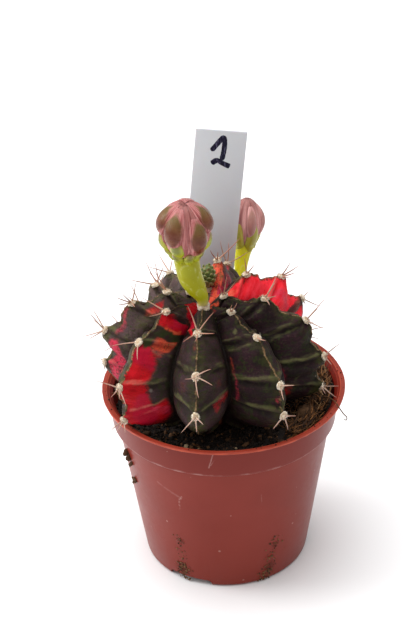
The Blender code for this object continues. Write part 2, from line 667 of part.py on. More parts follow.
def make_head(head, name, material):
    """A closed bud: a core, and tepals in two layers whose outer ones bulge most."""
    height = head_height(head)
    profile = [(0.0, 0.0)]
    for step in range(HEAD_RINGS + 1):
        share = step / HEAD_RINGS
        profile.append((head_radius(head, share) - CORE_INSET, share * height))
    profile.append((0.0, height))
    bm = spin_profile(profile, HEAD_SIDES)
    bmesh.ops.transform(bm, matrix=head_matrix(head), verts=bm.verts)
    core = finish(bm, name, material)
    pieces = []
    tepals, turn = head["tepals"]
    for count in range(tepals):
        lift, end, width = OUTER_TEPAL if count % 2 == 0 else INNER_TEPAL

        def outer(share, along, aside, lift=lift):
            bulge = lift * math.sin(math.pi * min(along * 1.05, 1.0))
            return head_radius(head, share) + bulge * (1.0 - 0.75 * aside * aside)

        pieces.append(make_blade(head, turn + count * 360.0 / tepals, TEPAL_START, end,
                                 head["radius"] * width, outer, TEPAL_DEPTH, f"{name}_{count}"))
    fuse(core, pieces)
    core.data.materials.clear()
    core.data.materials.append(material)
    return core


def make_tube(tube, areole, head, name, material):
    """The green tube under a bud, with broad scales that cup the head's foot."""
    direction = bud_direction(tube, areole)
    start = areole + direction * (SEAT_TOP + GAP)
    stations = [(start, TUBE_START_RADIUS, direction)]
    foot = Vector(head["foot"])
    axis = (Vector(head["tip"]) - foot).normalized()
    centres = [start] + [Vector(station[:3]) for station in tube] + [foot - axis * GAP]
    for number in range(1, len(centres) - 1):
        along = (centres[number + 1] - centres[number - 1]).normalized()
        stations.append((centres[number], tube[number - 1][3], along))
    stations.append((centres[-1], head["foot_radius"], axis))
    made = loft(stations, TUBE_SIDES, name, material)

    def outer(share, along, aside):
        flare = mix(SCALE_REST, SCALE_THICKNESS + GAP, ease(share, -SCALE_FLARE, 0.0))
        return head_radius(head, max(share, 0.0)) + flare

    pieces = []
    scales, turn = head["scales"]
    for count in range(scales):
        pieces.append(make_blade(head, turn + count * 360.0 / scales, SCALE_START, TEPAL_START,
                                 head["foot_radius"] * SCALE_WIDTH, outer, SCALE_THICKNESS,
                                 f"{name}_{count}"))
    fuse(made, pieces)
    made.data.materials.clear()
    made.data.materials.append(material)
    return made


def strip_matrix():
    """Place and lean of the label where it meets the soil."""
    lean = Matrix.Rotation(math.radians(LABEL_LEAN_RIGHT), 4, "Y")
    back = Matrix.Rotation(math.radians(-LABEL_LEAN_BACK), 4, "X")
    return Matrix.Translation(LABEL_FOOT) @ back @ lean


def make_strip(name, material, extra=0.0):
    """The label's strip with a pointed foot, or the slot that it stands in."""
    half = LABEL_WIDTH / 2 + extra
    point = LABEL_POINT_WIDTH / 2 + extra
    outline = ((-point, -LABEL_BELOW - extra), (point, -LABEL_BELOW - extra), (half, 0.0),
               (half, LABEL_ABOVE), (-half, LABEL_ABOVE), (-half, 0.0))
    bm = bmesh.new()
    front = LABEL_THICKNESS / 2 + extra
    face = bm.faces.new([bm.verts.new((x, -front, z)) for x, z in outline])
    ring = bmesh.ops.extrude_face_region(bm, geom=[face])
    verts = [item for item in ring["geom"] if isinstance(item, bmesh.types.BMVert)]
    bmesh.ops.translate(bm, vec=(0.0, 2 * front, 0.0), verts=verts)
    made = finish(bm, name, material)
    place = strip_matrix()
    place.translation *= MM
    made.matrix_world = place
    return made


def make_young_bud():
    height, radius = YOUNG_BUD["height"], YOUNG_BUD["radius"]
    profile = [(0.0, 0.0), (YOUNG_BUD["foot_radius"], 0.0)]
    for step in range(1, YOUNG_BUD_RINGS):
        share = step / YOUNG_BUD_RINGS
        profile.append((radius * math.sin(math.pi * share ** 0.8) ** 0.6, height * share))
    profile.append((0.0, height))
    bm = spin_profile(profile, YOUNG_BUD_SIDES)
    for vert in bm.verts:
        if math.hypot(vert.co.x, vert.co.y) < YOUNG_BUD["foot_radius"] + 0.1:
            continue
        turn = YOUNG_BUD_SCALES * math.atan2(vert.co.y, vert.co.x)
        climb = 2.0 * math.tau * vert.co.z / height
        grow = 1.0 + YOUNG_BUD_RELIEF * math.cos(turn + climb) * math.cos(turn - climb)
        vert.co.x *= grow
        vert.co.y *= grow
    bmesh.ops.translate(bm, vec=YOUNG_BUD["foot"], verts=bm.verts)
    return finish(bm, "young_bud", make_material("young_bud_green", (0.12, 0.2, 0.04), 0.5))


def main():
    clear_scene()
    plant = bpy.data.objects.new("plant", None)
    plant.location = PLANT * MM
    bpy.context.scene.collection.objects.link(plant)

    make_pot()
    make_soil()
    body = make_cactus_body()
    body.parent = plant

    green = make_material("bud_green", (0.35, 0.42, 0.03), 0.4)
    pink = make_material("bud_pink", (0.45, 0.2, 0.17), 0.45)
    buds = (("flower_bud_front", FRONT_BUD_AREOLE, FRONT_TUBE, FRONT_HEAD),
            ("flower_bud_back", BACK_BUD_AREOLE, BACK_TUBE, BACK_HEAD))
    for name, spot, tube, head in buds:
        make_head(head, name + "_tepals", pink)
        make_tube(tube, areole_frame(*spot)[0] + PLANT, head, name + "_tube", green)
    make_young_bud()
    make_strip("plant_label", make_material("label_plastic", (0.62, 0.63, 0.66), 0.5))


main()
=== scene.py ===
# %% [markdown]
# # A red and green ribbed cactus in a nursery pot
# The real thing is a small ribbed cactus with patches of red where its skin has no green in it.
# It stands in a terracotta-coloured plastic pot with peat, two flower buds and a stick label.
# The solid model gives every place and size. This lesson puts the fine skin, wool, spines,
# petals and soil over it, in the same frame, and lights it softly on a pale floor.

# %% Load the frame
import functools
import json
import math
import random

import bmesh
import bpy
from mathutils import Matrix, Vector, noise

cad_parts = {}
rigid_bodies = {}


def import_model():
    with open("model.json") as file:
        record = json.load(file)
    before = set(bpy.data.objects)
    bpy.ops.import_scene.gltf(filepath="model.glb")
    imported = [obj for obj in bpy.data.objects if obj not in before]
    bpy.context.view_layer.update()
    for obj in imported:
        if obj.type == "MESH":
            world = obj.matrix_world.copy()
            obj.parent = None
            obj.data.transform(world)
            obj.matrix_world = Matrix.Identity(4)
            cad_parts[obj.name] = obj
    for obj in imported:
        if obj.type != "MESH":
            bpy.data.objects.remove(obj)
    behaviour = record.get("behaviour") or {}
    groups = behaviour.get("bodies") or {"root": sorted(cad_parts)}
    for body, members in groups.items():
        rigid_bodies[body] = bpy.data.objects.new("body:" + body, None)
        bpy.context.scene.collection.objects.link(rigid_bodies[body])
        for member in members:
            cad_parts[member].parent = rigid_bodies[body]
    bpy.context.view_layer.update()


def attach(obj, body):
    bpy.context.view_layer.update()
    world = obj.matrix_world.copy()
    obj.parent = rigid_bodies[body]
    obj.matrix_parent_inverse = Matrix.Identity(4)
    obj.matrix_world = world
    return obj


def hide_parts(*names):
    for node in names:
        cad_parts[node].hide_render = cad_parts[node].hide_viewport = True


for left_over in list(bpy.data.objects):
    bpy.data.objects.remove(left_over, do_unlink=True)
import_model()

# %% [markdown]
# ## Measures
# Lengths in this file are in millimetres, the unit in which a pot or a spine is measured, and
# each mesh is scaled to metres when it is finished. Places round an upright axis are an azimuth
# in degrees, with 0 towards the camera at -Y and 90 at +X, a distance and a height.

# %% Small helpers
MM = 0.001
UP = Vector((0.0, 0.0, 1.0))


def mix(a, b, share):
    return a + (b - a) * share


def ease(value, start=0.0, end=1.0):
    """A soft step from 0 at the start to 1 at the end."""
    share = min(max((value - start) / (end - start), 0.0), 1.0)
    return share * share * (3.0 - 2.0 * share)


def ease_degrees(angle, limits):
    """The same step for an angle in radians, between two limits in degrees."""
    return ease(angle, math.radians(limits[0]), math.radians(limits[1]))


def around(azimuth, distance, height):
    turn = math.radians(azimuth)
    return Vector((distance * math.sin(turn), -distance * math.cos(turn), height))


def frame_along(direction, up=UP):
    """A rotation whose +Z is the direction and whose +Y leans towards up."""
    z = direction.normalized()
    x = up.cross(z)
    if x.length < 1e-4:
        x = Vector((1.0, 0.0, 0.0))
    x.normalize()
    return Matrix((x, z.cross(x), z)).transposed().to_4x4()


def mesh_of(bm, name):
    """Turn a bmesh in millimetres into a mesh in metres."""
    bmesh.ops.scale(bm, vec=(MM, MM, MM), verts=bm.verts)
    mesh = bpy.data.meshes.new(name)
    bm.to_mesh(mesh)
    bm.free()
    return mesh


def add_object(name, data):
    made = bpy.data.objects.new(name, data)
    bpy.context.scene.collection.objects.link(made)
    return made


def finish(bm, name, material, stands_for=(), sharp=None):
    """Turn a bmesh into a finished piece on the plant's one body."""
    mesh = mesh_of(bm, name)
    mesh.shade_smooth()
    if sharp is not None:
        mesh.set_sharp_from_angle(angle=math.radians(sharp))
    mesh.materials.append(material)
    piece = add_object(name, mesh)
    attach(piece, "root")
    if stands_for:
        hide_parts(*stands_for)
    print(f"{name}: {sum(len(face.vertices) - 2 for face in mesh.polygons)} triangles")
    return piece


# %% [markdown]
# Blender's mesh operators look over the whole bmesh each time, so a thousand small forms made in
# one bmesh take minutes. Forty at a time in a small one, each then added to the whole, take
# seconds. Every such bmesh also keeps one painted layer, which its material reads.

# %% Many small forms
BATCH = 40


def painted_bmesh(layer):
    bm = bmesh.new()
    return bm, bm.verts.layers.float_color.new(layer)


def in_batches(layer, items, add, whole=None):
    """Call add(bmesh, layer, *item) for every item, and return the whole with what it made."""
    whole = whole or painted_bmesh(layer)[0]
    scratch = bpy.data.meshes.new("scratch")
    for start in range(0, len(items), BATCH):
        part, paint = painted_bmesh(layer)
        for item in items[start:start + BATCH]:
            add(part, paint, *item)
        part.to_mesh(scratch)
        part.free()
        whole.from_mesh(scratch)
    bpy.data.meshes.remove(scratch)
    return whole


# %% [markdown]
# Most of the small forms here are rods: spines, wool hairs and peat fibres. A sphere of latitude
# rings can be pulled out into a rod that bends and tapers, and it is closed at both ends from
# the start, which a swept tube isn't.

# %% Bent rods from spheres
POLE = 1e-3                   # a vertex of a ball nearer to its axis than this is a pole


def along_ball(vert):
    """How far a ball's vertex is from the lower pole to the upper one, as a share."""
    return math.acos(max(-1.0, min(1.0, -vert.co.z))) / math.pi


def spoke(vert, length):
    """The vertex's way out from the ball's axis, at a new length, and next to nothing at a pole."""
    flat = Vector((vert.co.x, vert.co.y, 0.0))
    return flat.normalized() * length if flat.length > POLE else flat


def random_vector(draw, reach):
    return Vector([draw.uniform(-reach, reach) for _ in range(3)])


def add_rod(bm, foot, direction, bow, length, widths, sides, rings, paint):
    """A bent, tapered rod. widths are its radii at foot, middle and tip."""
    turn = frame_along(direction).to_3x3()
    made = bmesh.ops.create_uvsphere(bm, u_segments=sides, v_segments=rings, radius=1.0)
    for vert in made["verts"]:
        share = along_ball(vert)
        width = mix(widths[0], widths[1], min(2 * share, 1.0))
        width = mix(width, widths[2], max(2 * share - 1.0, 0.0))
        middle = foot + (direction + bow * share) * (length * share)
        vert.co = middle + turn @ spoke(vert, width)
        paint(vert, share)


# %% [markdown]
# ## Shader tools
# Materials are built from nodes. What comes out of a node is wrapped as a value here, so that
# sums of masks can be written as sums: each sign stands for one Math node. A helper adds its
# node to the tree that its inputs come from, so most of them need no tree.

# %% Values with signs
class Value:
    """What comes out of a node's socket."""

    def __init__(self, socket):
        self.socket = socket
        self.tree = socket.id_data

    def __add__(self, other):
        return calc("ADD", self, other)

    def __sub__(self, other):
        return calc("SUBTRACT", self, other)

    def __rsub__(self, other):
        return calc("SUBTRACT", other, self)

    def __mul__(self, other):
        return calc("MULTIPLY", self, other)

    def __truediv__(self, other):
        return calc("DIVIDE", self, other)

    def __pow__(self, other):
        return calc("POWER", self, other)

    def __gt__(self, other):
        return calc("GREATER_THAN", self, other)

    def __lt__(self, other):
        return calc("LESS_THAN", self, other)

    def __abs__(self):
        return calc("ABSOLUTE", self)


def node(tree, kind, inputs=None, **options):
    """Add a shader node, set its options, and fill its inputs with numbers or with values."""
    made = tree.nodes.new("ShaderNode" + kind)
    for option, choice in options.items():
        setattr(made, option, choice)
    for key, given in (inputs or {}).items():
        if isinstance(given, Value):
            tree.links.new(given.socket, made.inputs[key])
        else:
            made.inputs[key].default_value = given
    return made


def tree_of(inputs):
    return next(given.tree for given in inputs.values() if isinstance(given, Value))


def add_node(kind, inputs, output=0, **options):
    """Add a node to its inputs' own tree, and return one of its outputs as a value."""
    return Value(node(tree_of(inputs), kind, inputs, **options).outputs[output])


# %% Node helpers
def calc(operation, *values):
    return add_node("Math", dict(enumerate(values)), operation=operation)


def vector(operation, *values):
    """A sum with places. Products, distances and lengths are plain numbers."""
    output = "Value" if operation in ("DOT_PRODUCT", "DISTANCE", "LENGTH") else "Vector"
    return add_node("VectorMath", dict(enumerate(values)), output, operation=operation)


def step(value, low, high):
    return add_node("MapRange", {"Value": value, "From Min": low, "From Max": high}, "Result",
                    interpolation_type="SMOOTHSTEP")


def blend(share, *colours):
    """Mix two colours. Each is a value or three numbers."""
    first, second = (given if isinstance(given, Value) else (*given, 1.0) for given in colours)
    return add_node("Mix", {0: share, 6: first, 7: second}, 2, data_type="RGBA")


def noise_at(place, scale, detail=3.0, roughness=0.55):
    return add_node("TexNoise", {"Vector": place, "Scale": scale, "Detail": detail,
                                 "Roughness": roughness}, "Fac")


def stretch(place, scale):
    """Scale a place by a different factor along each axis."""
    return add_node("Mapping", {"Vector": place, "Scale": scale})


def in_mm(tree):
    """A place on the plant, in millimetres, from the piece's own coordinates."""
    return stretch(Value(node(tree, "TexCoord").outputs["Object"]), (1.0 / MM, 1.0 / MM, 1.0 / MM))


def painted(tree, name):
    """The four channels of a painted attribute."""
    made = node(tree, "Attribute", attribute_name=name)
    split = node(tree, "SeparateColor", {0: Value(made.outputs["Color"])})
    return [Value(socket) for socket in (*split.outputs, made.outputs["Alpha"])]


# %% [markdown]
# A node group has named inputs, each with a start value that also tells its kind, and named
# outputs. Here the inputs come back as values by name, and the results are put out by name.

# %% Node groups and materials
ORIGIN = (0.0, 0.0, 0.0)


def new_group(name, inputs, outputs):
    tree = bpy.data.node_groups.new(name, "ShaderNodeTree")
    for label, start in inputs.items():
        kind = "NodeSocketVector" if isinstance(start, tuple) else "NodeSocketFloat"
        tree.interface.new_socket(name=label, in_out="INPUT", socket_type=kind).default_value = start
    for label in outputs:
        tree.interface.new_socket(name=label, in_out="OUTPUT", socket_type="NodeSocketFloat")
    given = tree.nodes.new("NodeGroupInput").outputs
    return tree, {label: Value(given[label]) for label in inputs}


def put_out(tree, **results):
    ends = tree.nodes.new("NodeGroupOutput").inputs
    for label, result in results.items():
        tree.links.new(result.socket, ends[label])


def place_group(name, **inputs):
    """Place a node group in its inputs' own tree, and return what it puts out, by name."""
    made = node(tree_of(inputs), "Group", inputs, node_tree=bpy.data.node_groups[name])
    return {socket.name: Value(socket) for socket in made.outputs}


def mask_of(name, place, **inputs):
    return place_group(name, Place=place, **inputs)["Mask"]


def grain_at(place, scale, roughness, wander):
    return place_group("grain", Place=place, Scale=scale, Roughness=roughness, Wander=wander)


def new_material(name, **constants):
    """A material and its node tree. Constants are set on the shader's own sockets."""
    material = bpy.data.materials.new(name)
    material.use_nodes = True
    shader = material.node_tree.nodes["Principled BSDF"]
    for label, constant in constants.items():
        shader.inputs[label.replace("_", " ")].default_value = constant
    return material, material.node_tree


def dress(tree, colour, roughness=None, height=None, bump=0.1):
    """Feed the shader what changes over the surface. bump is the height's size in millimetres."""
    shader = tree.nodes["Principled BSDF"]
    tree.links.new(colour.socket, shader.inputs["Base Color"])
    if roughness is not None:
        tree.links.new(roughness.socket, shader.inputs["Roughness"])
    if height is not None:
        relief = add_node("Bump", {"Strength": 1.0, "Distance": bump * MM, "Height": height})
        tree.links.new(relief.socket, shader.inputs["Normal"])


# %% [markdown]
# Three effects turn up in many finishes, so each is a node group with named inputs: a blotchy
# mottle, tiny pores or specks, and a fine grain that breaks up the gloss.

# %% Shared node groups
def make_mottle():
    """Cloudy patches with soft or crisp edges."""
    tree, given = new_group("mottle", {"Place": ORIGIN, "Scale": 1.0, "Low": 0.4, "High": 0.6},
                            ["Mask"])
    cloud = noise_at(given["Place"], given["Scale"])
    put_out(tree, Mask=step(cloud, given["Low"], given["High"]))


def make_specks():
    """Small round spots, scattered one to a cell, of uneven size."""
    tree, given = new_group("specks", {"Place": ORIGIN, "Scale": 1.0, "Size": 0.2, "Share": 0.5},
                            ["Mask"])
    cells = node(tree, "TexVoronoi", {"Vector": given["Place"], "Scale": given["Scale"]})
    pick = node(tree, "SeparateColor", {0: Value(cells.outputs["Color"])})
    radius = given["Size"] * (Value(pick.outputs[0]) + 0.3)
    spot = 1.0 - step(Value(cells.outputs["Distance"]), radius * 0.5, radius)
    put_out(tree, Mask=spot * (Value(pick.outputs[1]) < given["Share"]))


def make_grain():
    """A fine height and a roughness that wanders round its middle value."""
    tree, given = new_group("grain", {"Place": ORIGIN, "Scale": 2.0, "Roughness": 0.5,
                                      "Wander": 0.1}, ["Height", "Roughness"])
    fine = noise_at(given["Place"], given["Scale"], 4.0)
    broad = noise_at(given["Place"], given["Scale"] * 0.13, 2.0)
    swing = (fine + broad - 1.0) * given["Wander"]
    put_out(tree, Height=fine, Roughness=given["Roughness"] + swing)


make_mottle()
make_specks()
make_grain()
print("node groups:", [group.name for group in bpy.data.node_groups])

# %% [markdown]
# ## Camera, floor and light
# The camera looks down on the plant by about 31 degrees, from far off, so the pot keeps an even
# width. It is turned a little about its own line of sight, as a hand-held view is.

# %% Camera
CAMERA_ELEVATION = 30.63
CAMERA_DISTANCE = 451.5
CAMERA_ROLL = 1.544
CAMERA_TARGET = Vector((-3.62, 0.0, 73.25))
CAMERA_LENS = 100.0
CAMERA_SENSOR = 36.0          # along the frame's long side


def make_camera():
    lift = math.radians(CAMERA_ELEVATION)
    back = Vector((0.0, -math.cos(lift), math.sin(lift)))
    level = Matrix((Vector((1.0, 0.0, 0.0)), back.cross(Vector((1.0, 0.0, 0.0))), back))
    place = level.transposed().to_4x4() @ Matrix.Rotation(math.radians(-CAMERA_ROLL), 4, "Z")
    place.translation = (CAMERA_TARGET + back * CAMERA_DISTANCE) * MM
    data = bpy.data.cameras.new("camera")
    data.lens = CAMERA_LENS
    data.sensor_width = CAMERA_SENSOR
    data.clip_start = 0.01
    camera = add_object("camera", data)
    camera.matrix_world = place
    bpy.context.scene.camera = camera


make_camera()

# %% [markdown]
# The studio is a white floor that fills the view, a broad soft light high on the left, which
# gives the pot its pale left edge and throws a soft shadow to the right, and a dim even sky.
# A plain colour transform keeps the reds and greens as strong as they are in the materials.

# %% Floor and lights
FLOOR_HALF = 3000.0
LIGHTS = (
    # name, place, size, power in watts
    ("ceiling", (-180.0, 60.0, 1400.0), 1500.0, 20.5),
    ("window", (-620.0, 60.0, 380.0), 420.0, 2.9),
)
SKY_STRENGTH = 0.6


def make_floor():
    bm = bmesh.new()
    bmesh.ops.create_grid(bm, x_segments=2, y_segments=2, size=FLOOR_HALF)
    mesh = mesh_of(bm, "floor")
    material, tree = new_material("pale_floor", Roughness=0.6)
    cloud = noise_at(in_mm(tree), 0.01, 2.0)
    dress(tree, colour=blend(cloud, (0.88, 0.88, 0.89), (0.91, 0.91, 0.91)))
    mesh.materials.append(material)
    floor = add_object("floor", mesh)


def make_light(name, place, size, power):
    data = bpy.data.lights.new(name, "AREA")
    data.shape = "DISK"
    data.size = size * MM
    data.energy = power
    light = add_object(name, data)
    light.location = Vector(place) * MM
    aim = CAMERA_TARGET - Vector(place)
    light.rotation_euler = aim.to_track_quat("-Z", "Y").to_euler()


def make_sky():
    world = bpy.data.worlds.new("sky")
    world.use_nodes = True
    sky = world.node_tree.nodes["Background"]
    sky.inputs["Color"].default_value = (1.0, 1.0, 1.0, 1.0)
    sky.inputs["Strength"].default_value = SKY_STRENGTH
    bpy.context.scene.world = world


make_floor()
for light_values in LIGHTS:
    make_light(*light_values)
make_sky()
bpy.context.scene.view_settings.view_transform = "Standard"

# %% [markdown]
# ## Pot
# A thin injection-moulded nursery pot: a tapered wall, a wider collar with a step under it, a
# flat lip, and three notches in its foot. The solid pot has the right shape, but it is a coarse
# one with 64 sides, so the same profile is spun again with 192 sides and rounded corners. The
# lip wavers by a tenth of a millimetre, as the trimmed edge of soft plastic does.

# %% Pot profile
POT_HEIGHT = 51.1
BASE_RADIUS = 22.3
WALL_TOP_RADIUS = 28.7
COLLAR_FOOT = 41.9
COLLAR_RADII = (30.0, 30.5)
LIP_RADIUS = 32.5
LIP_THICKNESS = 0.62
LIP_WIDTH = 1.25
WALL = 0.9
FLOOR_THICKNESS = 1.2
FOOT_ROUND = 1.1
COLLAR_ROUND = 0.7
LIP_ROUND = 0.25
CORNER_STEPS = 4
NOTCH_AZIMUTHS = (-28, 92, 212)
NOTCH_SIZE = (12.4, 7.0, 1.8)
NOTCH_CENTRE_RADIUS = 20.5
NOTCH_ROUND = 0.9
LIP_WAVER = 0.1
POT_SIDES = 192
POT_SHARP = 40                # degrees between faces from which an edge stays crisp


def rounded(points, rounds):
    """A profile with its corners rounded: each corner becomes a short curve of that reach."""
    smooth = [Vector(points[0])]
    for before, corner, after, reach in zip(points, points[1:], points[2:], rounds[1:]):
        corner = Vector(corner)
        if reach == 0.0:
            smooth.append(corner)
            continue
        start = corner + (Vector(before) - corner).normalized() * reach
        end = corner + (Vector(after) - corner).normalized() * reach
        for number in range(CORNER_STEPS + 1):
            share = number / CORNER_STEPS
            smooth.append(start.lerp(corner, share).lerp(corner.lerp(end, share), share))
    smooth.append(Vector(points[-1]))
    return smooth


def spin_profile(points, sides):
    """Turn a profile that starts and ends on the Z axis into a closed body."""
    bm = bmesh.new()
    verts = [bm.verts.new((radius, 0.0, height)) for radius, height in points]
    edges = [bm.edges.new(pair) for pair in zip(verts, verts[1:])]
    bmesh.ops.spin(bm, geom=verts + edges, cent=(0, 0, 0), axis=(0, 0, 1), angle=math.tau,
                   steps=sides, use_merge=True, use_duplicate=False)
    bmesh.ops.remove_doubles(bm, verts=bm.verts, dist=0.001)
    bmesh.ops.recalc_face_normals(bm, faces=bm.faces)
    return bm


def inner_wall():
    """The pot's inside, from the floor up: radius and height."""
    return ((BASE_RADIUS - WALL, FLOOR_THICKNESS), (WALL_TOP_RADIUS - WALL, COLLAR_FOOT - WALL),
            (COLLAR_RADII[0] - WALL, COLLAR_FOOT + 0.6), (COLLAR_RADII[1] - WALL, POT_HEIGHT - 1.6))


def pot_profile():
    lip_foot = POT_HEIGHT - LIP_THICKNESS
    corners = [
        (0.0, 0.0, 0.0), (BASE_RADIUS, 0.0, FOOT_ROUND), (24.3, 13.0, 0.0), (26.5, 27.5, 0.0),
        (WALL_TOP_RADIUS, COLLAR_FOOT, 0.0), (COLLAR_RADII[0], COLLAR_FOOT, COLLAR_ROUND),
        (COLLAR_RADII[1], lip_foot, 0.0), (LIP_RADIUS, lip_foot, LIP_ROUND),
        (LIP_RADIUS, POT_HEIGHT, LIP_ROUND), (LIP_RADIUS - LIP_WIDTH, POT_HEIGHT, LIP_ROUND)]
    corners += [(radius, height, 0.0) for radius, height in reversed(inner_wall())]
    corners.append((0.0, FLOOR_THICKNESS, 0.0))
    return rounded([corner[:2] for corner in corners], [corner[2] for corner in corners])


# %% [markdown]
# The pot's plastic is a brick red that lets some light through where it is thin, and that light
# is painted into the lip's orange colour, with a painted highlight along the lip's rounded edges.
# The collar is painted a little darker than the wall, as painted shade. Handling leaves pale
# scuffs on the step of the collar, a few scratches, and splashes of dried peat near the foot. A
# scratch is the distance to a short line, and a splash is a cloud of specks that fades with the
# distance from its middle.

# %% Scratches and splashes
def make_scratch():
    """A worn line from one point to another, broken up along its length."""
    tree, given = new_group("scratch", {"Place": ORIGIN, "Start": ORIGIN, "End": (1.0, 0.0, 0.0),
                                        "Width": 0.3}, ["Mask"])
    along = vector("SUBTRACT", given["End"], given["Start"])
    away = vector("SUBTRACT", given["Place"], given["Start"])
    share = vector("DOT_PRODUCT", away, along) / vector("DOT_PRODUCT", along, along)
    nearest = add_node("VectorMath", {0: along, "Scale": add_node("Clamp", {0: share})},
                       operation="SCALE")
    ragged = given["Width"] * noise_at(given["Place"], 1.7)
    line = 1.0 - step(vector("DISTANCE", away, nearest), ragged * 0.3, ragged * 1.8)
    put_out(tree, Mask=line * step(noise_at(given["Place"], 0.9), 0.3, 0.5))


def make_splash():
    """Specks and stains round a point, thinning out with distance."""
    tree, given = new_group("splash", {"Place": ORIGIN, "Middle": ORIGIN, "Reach": 6.0,
                                       "Grain": 1.0}, ["Mask"])
    near = 1.0 - vector("DISTANCE", given["Place"], given["Middle"]) / given["Reach"]
    cloud = noise_at(given["Place"], given["Grain"], 5.0, 0.7)
    put_out(tree, Mask=step(near * 0.55 + cloud, 0.86, 0.98))


make_scratch()
make_splash()

# %% Pot plastic
SCRATCHES = (
    # start, end, width, strength
    ((-17.9, -20.9, 34.4), (-12.2, -24.3, 31.6), 0.55, 0.16),
    ((-11.8, -24.6, 32.0), (-12.6, -24.1, 30.4), 0.55, 0.62),
    ((-12.6, -24.1, 30.5), (-12.6, -23.6, 26.9), 0.5, 0.5),
    ((-3.3, -30.3, 49.4), (-4.5, -29.9, 44.9), 0.26, 0.45),
    ((-3.0, -30.3, 47.6), (-4.0, -30.0, 45.6), 0.2, 0.3),
    ((8.9, -25.8, 33.0), (9.2, -25.2, 28.4), 0.2, 0.16),
    ((14.0, 22.0, 30.0), (19.0, 17.5, 26.0), 0.3, 0.35),
    ((-22.0, 14.5, 33.0), (-20.5, 15.0, 27.5), 0.25, 0.3),
)
SPLASHES = (
    # middle, reach, grain
    ((-12.4, -19.6, 4.5), 5.5, 3.2),
    ((-12.8, -21.2, 15.0), 3.4, 2.6),
    ((11.0, -20.0, 5.0), 5.0, 3.0),
    ((12.8, -20.6, 12.5), 3.2, 2.8),
    ((-21.0, 9.0, 9.0), 7.0, 1.4),
    ((6.0, 21.5, 5.0), 6.0, 1.5),
)


def make_pot_plastic():
    material, tree = new_material("pot_plastic", IOR=1.49, Specular_IOR_Level=0.2,
                                  Subsurface_Weight=0.05, Subsurface_Scale=0.0012)
    place = in_mm(tree)
    height = add_node("SeparateXYZ", {0: place}, "Z")
    cloud = mask_of("mottle", place, Scale=0.05, Low=0.3, High=0.7)
    colour = blend(cloud, (0.188, 0.018, 0.009), (0.212, 0.023, 0.013))
    low = 1.0 - step(height, 0.0, 34.0)
    colour = blend(low * 0.6, colour, (0.188, 0.018, 0.008))
    # painted shade: the collar is painted a little darker than the wall
    collar = step(height, 41.0, 43.0)
    colour = blend(collar, colour, (0.172, 0.015, 0.008))
    radius = vector("LENGTH", stretch(place, (1.0, 1.0, 0.0)))
    lip = step(height, 50.0, 50.5)
    # painted highlight: a light line along the lip's rounded inner and outer edges, over the lip's
    # orange, which is painted light through the thin plastic
    edge = step(abs(radius - 31.85), 0.48, 0.64)
    lip_colour_and_highlight = blend(edge, (0.27, 0.034, 0.018), (0.46, 0.075, 0.037))
    lip_colour_and_highlight = blend(radius < 31.05, lip_colour_and_highlight, (0.24, 0.022, 0.011))
    colour = blend(lip, colour, lip_colour_and_highlight)
    inside = (radius < 29.95) * step(height, 40.0, 45.0)
    colour = blend(inside, colour, (0.19, 0.013, 0.007))
    step_line = step(height, 41.6, 41.95) * (1.0 - step(height, 42.3, 42.9))
    worn = step_line * (step(noise_at(place, 0.3), 0.4, 0.7) * 0.42)
    for start, end, width, strength in SCRATCHES:
        line = mask_of("scratch", place, Start=start, End=end, Width=width)
        worn = calc("MAXIMUM", worn, line * strength)
    colour = blend(worn, colour, (0.5, 0.3, 0.27))
    dust = mask_of("specks", place, Scale=0.45, Size=0.16, Share=0.16)
    colour = blend(dust * 0.5, colour, (0.46, 0.27, 0.23))
    dirt = 0.0
    for middle, reach, grain in SPLASHES:
        splash = mask_of("splash", place, Middle=middle, Reach=reach, Grain=grain)
        dirt = calc("MAXIMUM", dirt, splash)
    colour = blend(dirt * 0.6, colour, (0.08, 0.026, 0.014))
    grain = grain_at(place, 0.8, 0.36, 0.14)
    dull = calc("MAXIMUM", dirt, worn)
    roughness = grain["Roughness"] + dull * 0.35
    dress(tree, colour, roughness, grain["Height"] * 0.3 + dirt * 1.5, 0.05)
    return material


# %% [markdown]
# The notches are cut with a Boolean, whose cutter is a block with rounded upright edges.

# %% Make the pot
def make_notch_cutter():
    bm = bmesh.new()
    along, radial, up = NOTCH_SIZE
    for azimuth in NOTCH_AZIMUTHS:
        place = Matrix.Translation(around(azimuth, NOTCH_CENTRE_RADIUS, 0.0))
        turn = Matrix.Rotation(math.radians(azimuth), 4, "Z")
        size = Matrix.Diagonal((along, radial, 2 * up, 1.0))
        made = bmesh.ops.create_cube(bm, size=1.0, matrix=place @ turn @ size)
        top = {vert for vert in made["verts"] if vert.co.z > 0.0}
        axis = turn @ UP.cross(around(0, 1, 0))
        edges = [edge for edge in {edge for vert in top for edge in vert.link_edges}
                 if edge.verts[0] in top and edge.verts[1] in top
                 and abs((edge.verts[0].co - edge.verts[1].co).normalized().dot(axis)) < 0.1]
        bmesh.ops.bevel(bm, geom=edges, offset=NOTCH_ROUND, offset_type="OFFSET", affect="EDGES",
                        segments=5, profile=0.5, material=-1)
    return add_object("notch_cutter", mesh_of(bm, "notch_cutter"))


def cut_away(piece, cutter):
    """Cut for good, so that no helper object stays in the scene."""
    modifier = piece.modifiers.new("boolean", "BOOLEAN")
    modifier.operation = "DIFFERENCE"
    modifier.object = cutter
    modifier.solver = "EXACT"
    bpy.context.view_layer.update()
    cut = bpy.data.meshes.new_from_object(
        piece.evaluated_get(bpy.context.evaluated_depsgraph_get()))
    piece.modifiers.clear()
    piece.data = cut
    bpy.data.objects.remove(cutter, do_unlink=True)


